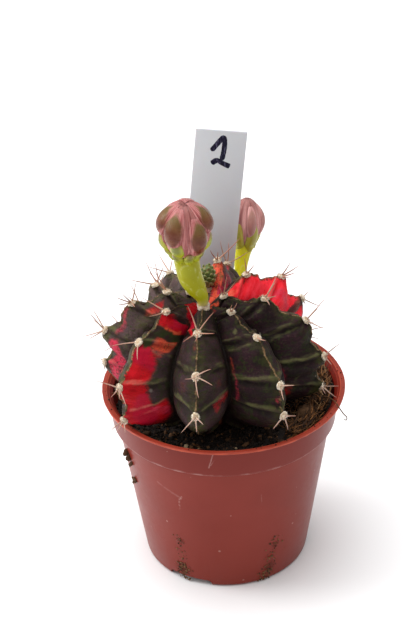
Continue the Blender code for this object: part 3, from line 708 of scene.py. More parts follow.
def make_pot():
    bm = spin_profile(pot_profile(), POT_SIDES)
    for vert in bm.verts:
        beyond = ease(math.hypot(vert.co.x, vert.co.y), COLLAR_RADII[1] + 0.4, LIP_RADIUS)
        if beyond > 0.0:
            waver = noise.noise(vert.co * 0.33) + 0.5 * noise.noise(vert.co * 1.1)
            inward = 1.0 - beyond * LIP_WAVER * (0.6 + waver) / LIP_RADIUS
            vert.co.x *= inward
            vert.co.y *= inward
    pot = finish(bm, "pot_shell", make_pot_plastic(), ["pot"], POT_SHARP)
    cut_away(pot, make_notch_cutter())
    pot.data.shade_smooth()
    pot.data.set_sharp_from_angle(angle=math.radians(POT_SHARP))


make_pot()

# %% [markdown]
# ## Cactus body
# The body is one surface with nine ribs, and a sphere is the natural start: its rows go from the
# crown to the root, and its columns run down the ribs. Each rib is a short table of places, with
# azimuth, distance from the plant's axis and height: where it rises from the sunken crown, and
# then its areoles, the woolly cushions that carry the spines. These are the solid model's own
# places, so the fine skin lies where the solid does.

# %% Rib places
PLANT = Vector((-3.9, -2.5, 0.0))
HEART = 62.8                      # height of the body's widest section
REACH = 30.0
DOME = 18.3
KEEL = 18.8
DOME_POWER = 2.56
KEEL_POWER = 2.0
CROWN_DIP = 13.2
FURROW = 0.68
CROWN_FURROW = 0.45
CROWN_FURROW_ANGLES = (35, 80)
CROWN_SPAN = 26
KEEL_FURROW_ANGLES = (28, 60)
ROOT_ANGLE = -50
CREST_NOTCH = 0.065
NOTCH_SKEW = 1.3                  # above 1, notches are deepest just above the next areole
# deeper notches below these areoles, by rib and place
DEEP_NOTCHES = {(2, 1): 0.09, (2, 2): 0.09, (2, 3): 0.09, (2, 4): 0.09, (3, 2): 0.13, (7, 2): 0.08,
                (7, 3): 0.09}
FLANK_POWER = 1.12
FLANK_HOLLOW = 0.18
ROOT_RADIUS = 8.0
ROOT_BOTTOM = 36.3

RIBS = (
    ((-7, 3.0, 78.0), (-7, 6.9, 80.6), (-8, 17.8, 79.0), (-6.6, 27.5, 72.5), (-6.8, 29.8, 62.2)),
    ((36, 3.0, 77.9), (36, 10.4, 79.5), (36, 21.0, 76.9), (36, 30.2, 67.4), (36, 31.5, 59.0)),
    ((78, 2.0, 77.6), (78, 4.6, 79.9), (78, 15.2, 80.1), (78, 25.9, 74.7), (78, 30.6, 64.3),
     (78, 30.0, 55.2)),
    ((124, 2.5, 76.2), (124, 12.7, 81.5), (124, 23.9, 77.1), (124, 30.9, 68.0), (124, 30.0, 57.5)),
    ((148, 5.0, 77.3), (166, 12.8, 83.0), (165.5, 23.0, 76.4), (161, 26.3, 67.3), (163, 26.0, 56.5)),
    ((208, 4.0, 78.0), (208, 9.0, 80.6), (208, 20.5, 76.5), (208, 27.6, 69.0), (208, 29.0, 59.0)),
    ((240, 2.5, 77.5), (240, 5.0, 79.3), (240, 15.2, 78.9), (240, 19.8, 70.0), (240, 24.5, 60.5)),
    ((271, 4.3, 79.1), (271, 10.1, 81.1), (271, 19.2, 78.2), (271, 26.6, 70.4), (271, 27.1, 60.6)),
    ((312, 3.7, 78.7), (312, 13.9, 80.6), (312, 23.3, 75.6), (312, 30.3, 65.2), (312, 29.4, 55.0)),
)
FRONT_BUD_AREOLE = (0, 1)
BACK_BUD_AREOLE = (4, 3)

# %% [markdown]
# Seen from the heart of the body, a rib's crest is a distance for every angle up from level. A
# superellipse gives the plain dome and keel, and the areoles pull it out or in from there. The
# count of areoles that the crest has passed is kept too, because the skin's bands follow it.

# %% Crests and furrows
def superellipse(angle, reach, height, power):
    """Distance from the heart to a superellipse, at an angle up from level."""
    across = abs(math.cos(angle)) / reach
    upward = abs(math.sin(angle)) / height
    return (across ** power + upward ** power) ** (-1.0 / power)


def body_reach(angle):
    """Crest distance from the heart before each rib's own bumps: dome, keel and root crown."""
    if angle >= 0.0:
        return superellipse(angle, REACH, DOME, DOME_POWER)
    keel = superellipse(angle, REACH, KEEL, KEEL_POWER)
    across = max(math.cos(angle), 1e-6)
    root = min(ROOT_RADIUS / across, (HEART - ROOT_BOTTOM) / max(-math.sin(angle), 1e-6))
    return max(keel, root)


@functools.cache
def rib_knots(rib):
    """A rib's places as (angle up from level, distance as a part of body_reach, azimuth)."""
    knots = []
    for azimuth, distance, height in RIBS[rib]:
        angle = math.atan2(height - HEART, distance)
        knots.append((angle, math.hypot(distance, height - HEART) / body_reach(angle), azimuth))
    return knots


@functools.cache
def crest(rib, angle, notched=True):
    """A crest's distance from the heart, its azimuth, and the areoles passed, at an angle."""
    knots = rib_knots(rib)
    first = knots[0]
    if angle >= first[0]:
        share = (math.pi / 2 - angle) / (math.pi / 2 - first[0])
        return mix(CROWN_DIP, first[1] * body_reach(first[0]), share), first[2], share - 1.0
    knots = knots + [(math.radians(ROOT_ANGLE), 1.0, knots[-1][2])]
    for number, (upper, lower) in enumerate(zip(knots, knots[1:])):
        if angle >= lower[0]:
            share = (upper[0] - angle) / (upper[0] - lower[0])
            scale = mix(upper[1], lower[1], ease(share))
            if notched and number > 0:
                depth = DEEP_NOTCHES.get((rib, number), CREST_NOTCH)
                scale -= depth * math.sin(math.pi * share ** NOTCH_SKEW) ** 2
            return scale * body_reach(angle), mix(upper[2], lower[2], share), number + share
    return body_reach(angle), knots[-1][2], float(len(knots) - 1)


@functools.cache
def furrow(angle):
    """Distance from the heart to the bottom of the furrows."""
    depth = 1.0 - FURROW
    if angle > 0.0:
        depth *= 1.0 - CROWN_FURROW * ease_degrees(angle, CROWN_FURROW_ANGLES)
        crown = ease_degrees(math.pi / 2 - angle, (0, CROWN_SPAN))
        return mix(CROWN_DIP, (1.0 - depth) * body_reach(angle), crown)
    depth *= 1.0 - ease_degrees(-angle, KEEL_FURROW_ANGLES)
    return (1.0 - depth) * body_reach(angle)


def flank(across):
    """Share of the rib's height at a place between crest (0) and furrow (1)."""
    return (1.0 - across ** FLANK_POWER) * (1.0 - FLANK_HOLLOW * ease(across, 0.75, 1.0))


# %% [markdown]
# The skin isn't smooth. A little above every areole a faint ridge leaves the crest and runs down
# both flanks to the furrow, nearly level, so the ribs look banded, with a chevron at each one.
# Between the ridges the skin swells a little, and the crest itself is a thin raised line that
# wanders. These forms are pushed out along the surface's own normals, once the broad shape
# stands. A vertex is told both how many areoles its own rib's crest has passed at its angle, for
# the bands, and the mean of both ribs' counts towards the furrow, for the colours, which cross it.

# %% Body with bands
RIB_COLUMNS = 36
BODY_ROWS = 220
BAND_LEAD = 0.12              # how far above its areole a band lies, in areole spacings
CLIMB = 0.08                  # and how much it climbs on its way to the furrow
BAND_RIDGE = 0.48
BAND_GROOVE = 0.7
SWELL = 0.55
CREST_LINE = 0.26
CREST_BUMPS = 0.65
CREST_FOLD = 0.55             # a fold across the crest, just above each areole
SKIN_GRAIN = 0.09
CREST_WANDER = 1.5            # degrees


def skin_place(column, angle):
    """Where a point of the sphere goes, and what the skin is like there."""
    near = round(column)
    across = (column - near) * 2.0
    side = 1 if across > 0 else -1
    reach, azimuth, own = crest(near % len(RIBS), angle)
    next_azimuth, next_passed = crest((near + side) % len(RIBS), angle)[1:]
    half = ((next_azimuth - azimuth) * side % 360.0) / 2.0
    distance = mix(min(furrow(angle), reach), reach, flank(abs(across)))
    wander = CREST_WANDER * noise.noise(Vector((own * 2.3, near * 7.1, 0.0)))
    wander *= math.sin(math.pi * own) ** 2 * (1.0 - abs(across)) * ease(own, 0.3, 1.0)
    place = around(azimuth + across * half + wander, distance * math.cos(angle),
                   HEART + distance * math.sin(angle))
    shared = mix(own, (own + next_passed) / 2.0, ease(abs(across), 0.55, 1.0))
    return place, near % len(RIBS), side, abs(across), shared, own


def band_relief(rib, across, own):
    """Height of the small forms of the skin, in millimetres."""
    shake = 0.1 * noise.noise(Vector((own * 1.7, across * 2, rib * 5)))
    phase = own + BAND_LEAD + CLIMB * across + shake
    to_band = phase - round(phase)
    shown = ease(own, 0.35, 0.9) * (1.0 - ease(own, 5.2, 6.2))
    on_flank = ease(across, 0.02, 0.22) * (1.0 - ease(across, 0.6, 1.0))
    ridge = BAND_RIDGE * math.exp(-(to_band / 0.05) ** 2)
    groove = BAND_GROOVE * math.exp(-((to_band - 0.13) / 0.07) ** 2)
    swell = SWELL * math.sin(math.pi * (phase % 1.0)) ** 2
    line = CREST_LINE * math.exp(-(across / 0.035) ** 2) * ease(own, 0.2, 0.8)
    bumps = noise.fractal(Vector((own * 4.3, rib * 3.7, 0.0)), 0.8, 2.0, 3)
    bumps *= CREST_BUMPS * math.exp(-(across / 0.16) ** 2) * ease(own, 0.2, 0.8)
    to_fold = own % 1.0 - 0.8 - 0.06 * noise.noise(Vector((own, rib * 2.2, 5.0)))
    fold = CREST_FOLD * math.exp(-(to_fold / 0.05) ** 2) * math.exp(-(across / 0.2) ** 2)
    return shown * (on_flank * (ridge - groove + swell) - fold) + line + bumps


def make_body_mesh():
    columns = RIB_COLUMNS * len(RIBS)
    bm = bmesh.new()
    bmesh.ops.create_uvsphere(bm, u_segments=columns, v_segments=BODY_ROWS, radius=1.0)
    rib_place = bm.verts.layers.float_color.new("rib_place")
    marks = bm.verts.layers.float_color.new("marks")
    tones = bm.verts.layers.float_color.new("tones")
    relief = {}
    for vert in bm.verts:
        column = math.atan2(vert.co.y, vert.co.x) / math.tau * len(RIBS)
        angle = round(math.asin(max(-1.0, min(1.0, vert.co.z))), 5)
        if abs(angle) > math.radians(89.9):
            column = 0.0
        place, rib, side, across, passed, own = skin_place(column, angle)
        vert.co = place + PLANT
        relief[vert] = band_relief(rib, across, own)
        *colours, pale = mark_values(rib, side, passed, across)
        vert[rib_place] = (own / 10.0, across, rib / 10.0, 1.0)
        vert[tones] = (RIB_PALENESS_AND_LIGHT[rib], GLOW[rib], pale, 1.0)
        vert[marks] = colours
    bm.normal_update()
    for vert in bm.verts:
        grain = SKIN_GRAIN * noise.fractal(vert.co * 0.9, 1.0, 2.0, 3)
        vert.co += vert.normal * (relief[vert] + grain)
    return bm


# %% [markdown]
# ## Cactus skin colours
# The red patches are skin without chlorophyll. They follow the plant and not a simple rule, so
# each one is given as a brush stroke: rib, side of it, colour, strength, half width, and
# places on the flank as areoles passed and share of the way from crest to furrow. The body's
# vertices keep five soft masks, for crimson, orange, pink, dark and pale skin, and the material
# later gives their edges the torn and streaky outline of the real ones.

# %% Brush strokes on the flanks
CRIMSON, ORANGE, PINK, DARK, PALE = range(5)
LEFT, RIGHT = -1, 1           # towards lower and higher azimuths
STROKES = (
    (8, RIGHT, CRIMSON, 1.0, 2.8, ((0.1, 0.05), (0.3, 0.55), (0.65, 0.8), (0.9, 1.0))),
    (8, RIGHT, CRIMSON, 1.0, 2.4, ((1.17, 0.08), (1.22, 0.5), (1.5, 0.95))),
    (8, RIGHT, CRIMSON, 1.0, 4.9, ((2.42, 0.2), (2.5, 0.28))),
    (8, RIGHT, CRIMSON, 1.0, 4.9, ((3.2, 0.26), (3.5, 0.28))),
    (8, RIGHT, CRIMSON, 0.9, 1.6, ((2.1, 0.02), (2.9, 0.02), (4.2, 0.02))),
    (8, RIGHT, CRIMSON, 0.7, 1.4, ((1.0, 0.02), (1.35, 0.04))),
    (8, RIGHT, CRIMSON, 1.0, 3.6, ((4.1, 0.05), (4.0, 0.7))),
    (8, RIGHT, CRIMSON, 0.8, 2.2, ((4.5, 0.1), (4.3, 0.5))),
    (8, RIGHT, PINK, 0.7, 1.6, ((3.85, 0.6), (4.1, 0.78))),
    (8, RIGHT, ORANGE, 0.75, 2.4, ((1.82, 0.4), (1.98, 0.75))),
    (8, RIGHT, CRIMSON, 0.55, 2.0, ((1.85, 0.3), (2.1, 0.6))),
    (8, RIGHT, ORANGE, 0.9, 1.1, ((1.43, 0.3), (1.52, 0.75))),
    (8, RIGHT, DARK, 1.0, 1.5, ((1.57, 0.05), (1.6, 0.5), (1.8, 0.95))),
    (8, RIGHT, DARK, 0.9, 1.7, ((1.75, 0.06), (1.92, 0.2))),
    (8, RIGHT, DARK, 0.9, 1.8, ((0.42, 0.02), (0.85, 0.12))),
    (8, RIGHT, DARK, 0.6, 0.8, ((0.8, 0.45), (1.02, 0.85))),
    (8, RIGHT, DARK, 0.9, 2.6, ((1.95, 1.0), (3.0, 1.0), (4.3, 1.06))),
    (8, RIGHT, DARK, 0.6, 1.3, ((3.0, 0.76), (3.5, 0.78))),
    (8, RIGHT, PALE, 0.6, 0.45, ((2.08, 0.38), (2.2, 0.7), (2.42, 0.88))),
    (8, RIGHT, PALE, 0.8, 0.42, ((2.87, 0.1), (2.86, 0.55), (3.05, 0.85))),
    (8, RIGHT, PALE, 0.8, 0.6, ((3.72, 0.1), (3.62, 0.5), (3.68, 0.8))),
    (8, LEFT, CRIMSON, 0.9, 3.0, ((3.1, 0.4), (3.6, 0.45))),
    (8, LEFT, PINK, 0.8, 2.6, ((2.4, 0.75), (2.8, 0.8))),
    (8, LEFT, PALE, 0.6, 1.2, ((1.6, 0.1), (2.5, 0.15))),
    (7, RIGHT, CRIMSON, 1.0, 1.6, ((-0.25, 0.45), (-0.1, 0.6), (0.3, 0.75))),
    (7, RIGHT, CRIMSON, 0.7, 2.8, ((1.45, 0.36), (1.66, 0.44))),
    (7, RIGHT, ORANGE, 0.6, 1.6, ((1.7, 0.42), (1.85, 0.5))),
    (7, RIGHT, PINK, 0.6, 1.7, ((2.3, 0.08), (2.75, 0.3))),
    (7, RIGHT, PINK, 1.0, 3.0, ((3.3, 0.4), (3.65, 0.55), (3.95, 0.3))),
    (7, RIGHT, PALE, 0.5, 3.0, ((1.2, 0.6), (2.2, 0.62))),
    (7, RIGHT, PALE, 0.45, 0.72, ((3.0, 0.1), (2.98, 0.8))),
    (7, RIGHT, PALE, 0.7, 0.54, ((-0.05, 0.5), (0.4, 0.6), (0.8, 0.62))),
    (7, LEFT, PINK, 0.9, 3.4, ((2.7, 0.5), (3.2, 0.55))),
    (7, LEFT, CRIMSON, 0.9, 2.2, ((1.4, 0.7), (1.8, 0.8))),
    (0, LEFT, CRIMSON, 1.0, 2.3, ((0.85, 1.0), (1.4, 0.78), (1.85, 0.42))),
    (0, LEFT, PINK, 0.45, 0.9, ((2.3, 0.08), (2.42, 0.09))),
    (0, LEFT, PALE, 0.6, 0.9, ((1.3, 0.22), (1.85, 0.14))),
    (0, LEFT, PALE, 0.7, 0.6, ((2.88, 0.25), (2.92, 0.48))),
    (0, LEFT, PALE, 0.7, 0.48, ((3.86, 0.15), (3.72, 0.62))),
    (0, LEFT, PINK, 0.3, 2.2, ((3.3, 0.3), (3.5, 0.5))),
    (0, RIGHT, PALE, 0.6, 0.48, ((3.0, 0.25), (2.75, 0.92))),
    (0, RIGHT, PALE, 0.75, 0.54, ((3.92, 0.15), (3.78, 0.55), (3.5, 0.92))),
    (0, RIGHT, CRIMSON, 0.62, 1.5, ((3.97, 0.5), (3.88, 0.7), (3.72, 0.92))),
    (0, RIGHT, PINK, 0.35, 2.0, ((3.35, 0.55),)),
    (0, RIGHT, ORANGE, 0.5, 1.3, ((4.75, 0.75), (4.85, 1.0))),
    (1, LEFT, CRIMSON, 0.5, 1.8, ((0.3, 0.5), (0.5, 0.8))),
    (1, LEFT, ORANGE, 0.7, 3.4, ((-0.5, 0.2), (-0.25, 0.5))),
    (1, LEFT, ORANGE, 0.6, 0.8, ((2.5, 0.82), (2.85, 0.86))),
    (1, LEFT, PINK, 0.6, 0.8, ((2.95, 0.86), (3.2, 0.82), (3.5, 0.79), (3.9, 0.83))),
    (1, LEFT, CRIMSON, 0.55, 0.8, ((3.8, 0.97), (4.7, 1.0))),
    (1, LEFT, PINK, 0.75, 0.6, ((3.2, 0.0), (3.64, 0.05))),
    (1, LEFT, PALE, 0.95, 0.54, ((1.6, 0.27), (1.68, 0.42))),
    (1, LEFT, PALE, 0.6, 0.48, ((2.07, 0.2), (2.13, 0.6), (2.3, 0.9))),
    (1, LEFT, PALE, 0.8, 0.48, ((2.84, 0.12), (2.85, 0.6), (3.05, 0.86), (3.2, 0.92))),
    (1, LEFT, PALE, 0.75, 0.72, ((3.8, 0.12), (3.8, 0.62))),
    (1, LEFT, PALE, 0.4, 0.72, ((4.3, 0.7), (4.6, 0.35))),
    (1, RIGHT, PALE, 0.5, 0.6, ((2.85, 0.1), (2.7, 0.7))),
    (1, RIGHT, CRIMSON, 0.55, 1.2, ((3.4, 0.05), (3.5, 0.4))),
    (1, RIGHT, PALE, 0.6, 0.6, ((3.8, 0.1), (3.7, 0.6))),
    (2, LEFT, ORANGE, 1.0, 4.6, ((-0.5, 0.1), (-0.15, 0.45))),
    (2, LEFT, ORANGE, 1.0, 2.8, ((0.1, 0.0), (0.32, 0.4), (0.5, 0.65))),
    (2, LEFT, CRIMSON, 0.8, 1.0, ((0.35, 0.25), (0.55, 0.6))),
    (2, LEFT, PALE, 0.6, 0.48, ((3.02, 0.25), (3.0, 0.55), (2.8, 0.8), (2.68, 0.98))),
    (2, LEFT, PALE, 0.8, 0.6, ((3.88, 0.1), (3.88, 0.45), (3.7, 0.7), (3.45, 0.9))),
    (2, LEFT, PALE, 0.5, 0.6, ((2.1, 0.15), (2.1, 0.5))),
    (2, LEFT, PINK, 0.55, 0.8, ((3.5, 0.92), (4.0, 0.85), (4.5, 0.77))),
    (2, LEFT, CRIMSON, 0.55, 1.3, ((4.75, 0.74), (5.1, 0.62))),
    (2, LEFT, PALE, 0.5, 0.84, ((4.45, 0.5), (4.75, 0.55))),
    (2, RIGHT, CRIMSON, 0.9, 2.6, ((3.5, 0.6), (4.1, 0.65))),
    (2, RIGHT, PALE, 0.6, 0.6, ((2.9, 0.1), (2.85, 0.8))),
    (2, RIGHT, CRIMSON, 0.8, 2.0, ((1.5, 0.7), (1.9, 0.5))),
    (3, LEFT, CRIMSON, 1.0, 7.5, ((0.9, 0.5), (2.5, 0.4))),
    (3, LEFT, ORANGE, 0.7, 2.2, ((0.35, 0.15), (0.55, 0.5), (0.6, 0.9))),
    (3, LEFT, ORANGE, 1.0, 4.0, ((-0.5, 0.3), (0.0, 0.8))),
    (3, LEFT, PINK, 0.6, 3.0, ((2.1, 0.45), (2.6, 0.5))),
    (3, LEFT, DARK, 0.6, 0.8, ((0.95, 0.02), (0.98, 0.3))),
    (3, LEFT, DARK, 0.8, 1.4, ((3.02, 0.0), (2.9, 0.3), (2.72, 0.65))),
    (3, LEFT, DARK, 0.9, 4.5, ((3.7, 0.2), (4.2, 0.6))),
    (3, LEFT, PALE, 0.6, 0.48, ((1.87, 0.08), (1.84, 0.7))),
    (3, RIGHT, CRIMSON, 1.0, 5.0, ((1.4, 0.4), (2.6, 0.4))),
    (3, RIGHT, PINK, 0.8, 2.4, ((3.2, 0.4), (3.6, 0.5))),
    (3, RIGHT, DARK, 0.9, 1.4, ((1.95, 0.0), (1.9, 0.8))),
    (4, LEFT, ORANGE, 1.0, 6.5, ((-0.9, 0.2), (-0.2, 0.3), (0.5, 0.15))),
    (4, LEFT, PINK, 1.0, 1.9, ((0.2, 0.05), (0.3, 0.55), (0.65, 0.85), (1.1, 0.85))),
    (4, LEFT, PINK, 0.6, 3.0, ((0.7, 0.6), (1.2, 0.6))),
    (4, LEFT, PALE, 0.7, 1.08, ((0.6, 0.1), (0.75, 0.5))),
    (4, LEFT, PINK, 0.75, 1.3, ((1.45, 0.18), (1.9, 0.1))),
    (4, LEFT, CRIMSON, 0.8, 3.0, ((2.9, 0.5), (3.5, 0.5))),
    (4, RIGHT, ORANGE, 1.0, 6.5, ((-0.9, 0.2), (-0.2, 0.25), (0.6, 0.2))),
    (4, RIGHT, PINK, 0.6, 2.6, ((0.0, 0.5), (0.7, 0.4))),
    (4, RIGHT, CRIMSON, 0.9, 4.0, ((2.6, 0.5), (3.2, 0.6))),
    (5, RIGHT, CRIMSON, 0.9, 3.2, ((3.1, 0.5), (3.6, 0.6))),
    (5, LEFT, PINK, 0.8, 3.0, ((2.3, 0.5), (2.7, 0.6))),
    (6, LEFT, PINK, 0.9, 3.4, ((3.0, 0.6), (3.5, 0.6))),
    (6, RIGHT, CRIMSON, 0.8, 1.6, ((3.3, 0.7),)),
)
FLANK_SIZE = Vector((10.0, 17.0))     # millimetres for one areole spacing, and crest to furrow
STROKE_FADE = (0.8, 0.7)              # width of a stroke's soft edge, and more for each mm of it
# for each rib, how much of its dark skin is a paler grey-purple, partly its own colour and partly
# painted light on the ribs at the back and left, and how bright its red is
RIB_PALENESS_AND_LIGHT = (0.16, 0.02, 0.0, 0.2, 0.6, 0.75, 0.8, 0.42, 0.22)
GLOW = (0.2, 0.1, 0.2, 1.0, 0.7, 0.5, 0.4, 0.35, 0.1)


def scaled_stroke(path):
    places = [Vector((place[0] * FLANK_SIZE.x, place[1] * FLANK_SIZE.y)) for place in path]
    return list(zip(places, places[1:] or places))


FLANK_STROKES = {}
for stroke_rib, stroke_side, *look, stroke_path in STROKES:
    FLANK_STROKES.setdefault((stroke_rib, stroke_side), []).append(
        (*look, scaled_stroke(stroke_path)))


def distance_to(spot, spans):
    """Shortest distance from a spot to a row of straight spans."""
    nearest = math.inf
    for start, end in spans:
        along = end - start
        share = (spot - start).dot(along) / max(along.length_squared, 1e-9)
        nearest = min(nearest, (spot - start - along * min(max(share, 0.0), 1.0)).length)
    return nearest


def mark_values(rib, side, passed, across):
    """The five masks at a place on the skin."""
    values = [0.0] * 5
    spot = Vector((passed * FLANK_SIZE.x, across * FLANK_SIZE.y))
    for colour, strength, width, spans in FLANK_STROKES.get((rib, side), ()):
        fade = STROKE_FADE[0] + STROKE_FADE[1] * width
        inside = 1.0 - ease(distance_to(spot, spans), width - fade / 2, width + fade / 2)
        values[colour] = max(values[colour], inside * strength)
    return values


# %% [markdown]
# The skin's material reads those masks. Noise shifts their edges, partly streaked along the
# bands and partly in blots, a pale line marks each band and each crest, and the dark skin
# wanders between purple-brown and bottle green. A band's pale line is partly the skin's own
# colour and partly a painted highlight on its ridge, and painted shade darkens the crease under
# each band and the bottom of each furrow. Light goes a little way into the flesh, so the red
# glows.

# %% Cactus skin
def make_rib_noise():
    """Streaky noise along the bands, how near the nearest band is, and painted shade under it."""
    tree, given = new_group("rib_noise", {"Passed": 0.0, "Across": 0.0, "Rib": 0.0},
                            ["Streaks", "Fine", "Clouds", "Band", "Crease"])
    across = given["Across"]
    climb = across * CLIMB + (given["Passed"] + BAND_LEAD)
    place = add_node("CombineXYZ", {0: climb, 1: across, 2: given["Rib"] * 30.0})
    clouds = noise_at(stretch(place, (2.6, 3.0, 1.0)), 1.0, 3.0, 0.5)
    shaky = (clouds - 0.5) * 0.22 + climb
    below = shaky - calc("ROUND", shaky)
    put_out(tree, Streaks=noise_at(stretch(place, (9.0, 2.4, 1.0)), 1.0, 5.0, 0.66),
            Fine=noise_at(stretch(place, (60.0, 9.0, 1.0)), 1.0, 3.0, 0.6), Clouds=clouds,
            Band=1.0 - step(abs(below), 0.012, 0.07),
            Crease=1.0 - step(abs(below - 0.13), 0.01, 0.13))


def torn_mask(mask, torn, softness):
    """A soft mask whose edge is shifted by a noise."""
    reach = abs(mask - 0.5) * -1.1 + 1.0
    level = (torn - 0.5) * 4.4 * reach + mask
    return step(level, 0.5 - softness, 0.5 + softness) * step(mask, 0.05, 0.9)


def make_cactus_skin():
    material, tree = new_material(
        "cactus_skin", IOR=1.42, Specular_IOR_Level=0.1, Subsurface_Weight=0.06,
        Subsurface_Scale=0.0008, Subsurface_Radius=(1.0, 0.2, 0.12))
    passed, across, rib, _ = painted(tree, "rib_place")
    crimson, orange, pink, dark = painted(tree, "marks")
    grey, glow, pale, _ = painted(tree, "tones")
    passed = passed * 10.0
    near = place_group("rib_noise", Passed=passed, Across=across, Rib=rib)
    streaks, fine, clouds, band, crease_shade = (
        near[name] for name in ("Streaks", "Fine", "Clouds", "Band", "Crease"))
    place = in_mm(tree)
    blots = noise_at(place, 0.55, 6.0, 0.68)
    mottle = noise_at(place, 1.7, 5.0, 0.7)
    torn = (streaks + (blots * 0.9 + mottle * 0.6)) * 0.4

    # grey is the rib's paler skin, partly its own colour and partly painted light
    brown = blend(grey, (0.019, 0.0058, 0.0095), (0.125, 0.08, 0.078))
    green = blend(grey, (0.01, 0.017, 0.004), (0.08, 0.076, 0.034))
    near_crest = 1.0 - step(across, 0.02, 0.3)
    leafy = near_crest * 0.06 + torn
    colour = blend(step(leafy, 0.49, 0.58), brown, green)
    olive = blend(grey, (0.05, 0.046, 0.012), (0.14, 0.125, 0.05))
    colour = blend(near_crest * step(blots, 0.4, 0.65), colour, olive)
    lighter = blend(grey, (0.072, 0.037, 0.037), (0.19, 0.14, 0.12))
    colour = blend(step(mottle, 0.5, 0.72) * 0.55, colour, lighter)
    colour = blend(step(fine, 0.52, 0.72) * 0.25, colour, lighter)
    # darker patches of skin at random
    shade = step(noise_at(place, 0.2, 4.0), 0.42, 0.62) * 0.55
    on_flank = step(across, 0.05, 0.3) * step(passed, 0.3, 0.9)
    # painted shade: the crease just under each band is darkened
    shade = calc("MAXIMUM", shade, crease_shade * (on_flank * 0.82))
    colour = blend(shade, colour, blend(grey, (0.007, 0.005, 0.004), (0.045, 0.03, 0.026)))

    lively = step(streaks, 0.3, 0.7)
    red = blend(lively, (0.26, 0.001, 0.003), (0.43, 0.0024, 0.007))
    wine = step(noise_at(place, 0.13, 2.0), 0.46, 0.6)
    red = blend(wine * 0.75, red, (0.27, 0.0015, 0.022))
    bright = blend(lively, (0.7, 0.008, 0.016), (0.82, 0.035, 0.055))
    red = blend(glow, red, bright)
    rose = blend(lively, (0.4, 0.01, 0.035), (0.55, 0.045, 0.085))
    flame = blend(lively, (0.42, 0.03, 0.012), (0.5, 0.075, 0.03))
    flame = blend(glow, flame, blend(lively, (0.78, 0.06, 0.03), (0.82, 0.15, 0.085)))
    # a rim of olive and tan lies between red and dark skin
    rim = torn_mask(crimson, torn, 0.3) * (1.0 - torn_mask(crimson, torn, 0.05))
    rim_colour = blend(step(clouds, 0.4, 0.6), (0.17, 0.05, 0.02), (0.075, 0.066, 0.016))
    colour = blend(rim * 0.8, colour, rim_colour)
    colour = blend(torn_mask(crimson, torn, 0.32), colour, red)
    colour = blend(torn_mask(orange, torn, 0.5), colour, flame)
    colour = blend(torn_mask(pink, torn, 0.45), colour, rose)
    # dark flecks break up the red, most of all near its edges
    edges = 1.0 - step(crimson, 0.6, 1.0)
    flecks = step(edges * 0.12 + mottle, 0.58, 0.67) * step(blots, 0.46, 0.56)
    deep = blend(step(clouds, 0.4, 0.6), (0.022, 0.011, 0.009), (0.022, 0.026, 0.007))
    colour = blend(flecks * 0.75, colour, deep)
    colour = blend(torn_mask(dark, torn, 0.16), colour, deep)

    reddish = step(calc("MAXIMUM", crimson, pink), 0.35, 0.65)
    # the pale lines at the bands, faint and laid, are partly the skin's own pale bands and partly a
    # painted highlight on the band ridges
    light = blend(reddish, (0.15, 0.145, 0.055), (0.52, 0.17, 0.12))
    faint = band * step(clouds, 0.36, 0.62) * 0.3
    laid = torn_mask(pale, torn, 0.6) * 0.62
    colour = blend(calc("MAXIMUM", faint, laid), colour, light)
    wide = (mottle - 0.5) * 0.11 + 0.027
    line = 1.0 - step(across, wide * 0.4, wide)
    line = line * step(passed, 0.5, 1.1)
    edge = blend(step(streaks, 0.36, 0.5), (0.09, 0.085, 0.018), (0.22, 0.115, 0.055))
    edge = blend(step(mottle, 0.45, 0.6) * 0.6, edge, (0.4, 0.27, 0.15))
    knobs = step(noise_at(place, 0.55), 0.38, 0.56)
    line = line * (knobs * 0.66 + 0.12)
    colour = blend(line, colour, edge)
    # painted shade: the bottom of each furrow is painted near black
    furrow_shade = step(across, 0.8, 0.97) * step(passed, 0.6, 1.4)
    colour = blend(furrow_shade * 0.85, colour, (0.004, 0.002, 0.0015))
    scars = mask_of("specks", place, Scale=0.22, Size=0.13, Share=0.14)
    colour = blend(scars * 0.4, colour, (0.22, 0.19, 0.16))
    grain = grain_at(place, 2.2, 0.5, 0.2)
    height = mottle * 0.8 + fine * 0.5
    dress(tree, colour, grain["Roughness"], height, 0.2)
    return material


make_rib_noise()
finish(make_body_mesh(), "cactus_skin", make_cactus_skin(), ["cactus_body"])

# %% [markdown]
# ## Buds: measures
# The two flower buds stand on curved green tubes. A tube is known by places on its centre line
# with its radius there, and a head by its foot, its tip and two radii, as in the solid model.

# %% Tube and head measures
FRONT_TUBE = ((-5.1, -9.9, 83.7, 1.7), (-6.5, -9.95, 86.6, 2.6), (-7.9, -10.0, 89.9, 3.0),
              (-8.5, -9.8, 93.6, 3.15))
FRONT_HEAD = dict(foot=(-8.8, -9.7, 96.5), tip=(-8.5, -11.2, 111.0), radius=6.3, foot_radius=3.3)
BACK_TUBE = ((5.5, 24.7, 69.9, 1.45), (5.8, 27.2, 72.9, 2.0), (6.2, 29.0, 75.2, 2.5))
BACK_HEAD = dict(foot=(6.8, 30.2, 76.9), tip=(7.9, 31.9, 90.0), radius=4.4, foot_radius=2.8)
BUDS = (("front", FRONT_BUD_AREOLE, FRONT_TUBE, FRONT_HEAD),
        ("back", BACK_BUD_AREOLE, BACK_TUBE, BACK_HEAD))
YOUNG_BUD = dict(foot=(-3.4, 4.4, 78.6), height=6.2, radius=2.0)
LABEL_WIDTH = 13.6
LABEL_THICKNESS = 0.6
LABEL_FOOT = (-6.0, 23.6, 45.0)
LABEL_ABOVE = 68.3
LABEL_BELOW = 18.0
LABEL_POINT_WIDTH = 3.0
LABEL_LEAN_RIGHT = 6.1
LABEL_LEAN_BACK = 2.4
SOIL_LEVEL = 44.0                 # before its slope, lumps and heap
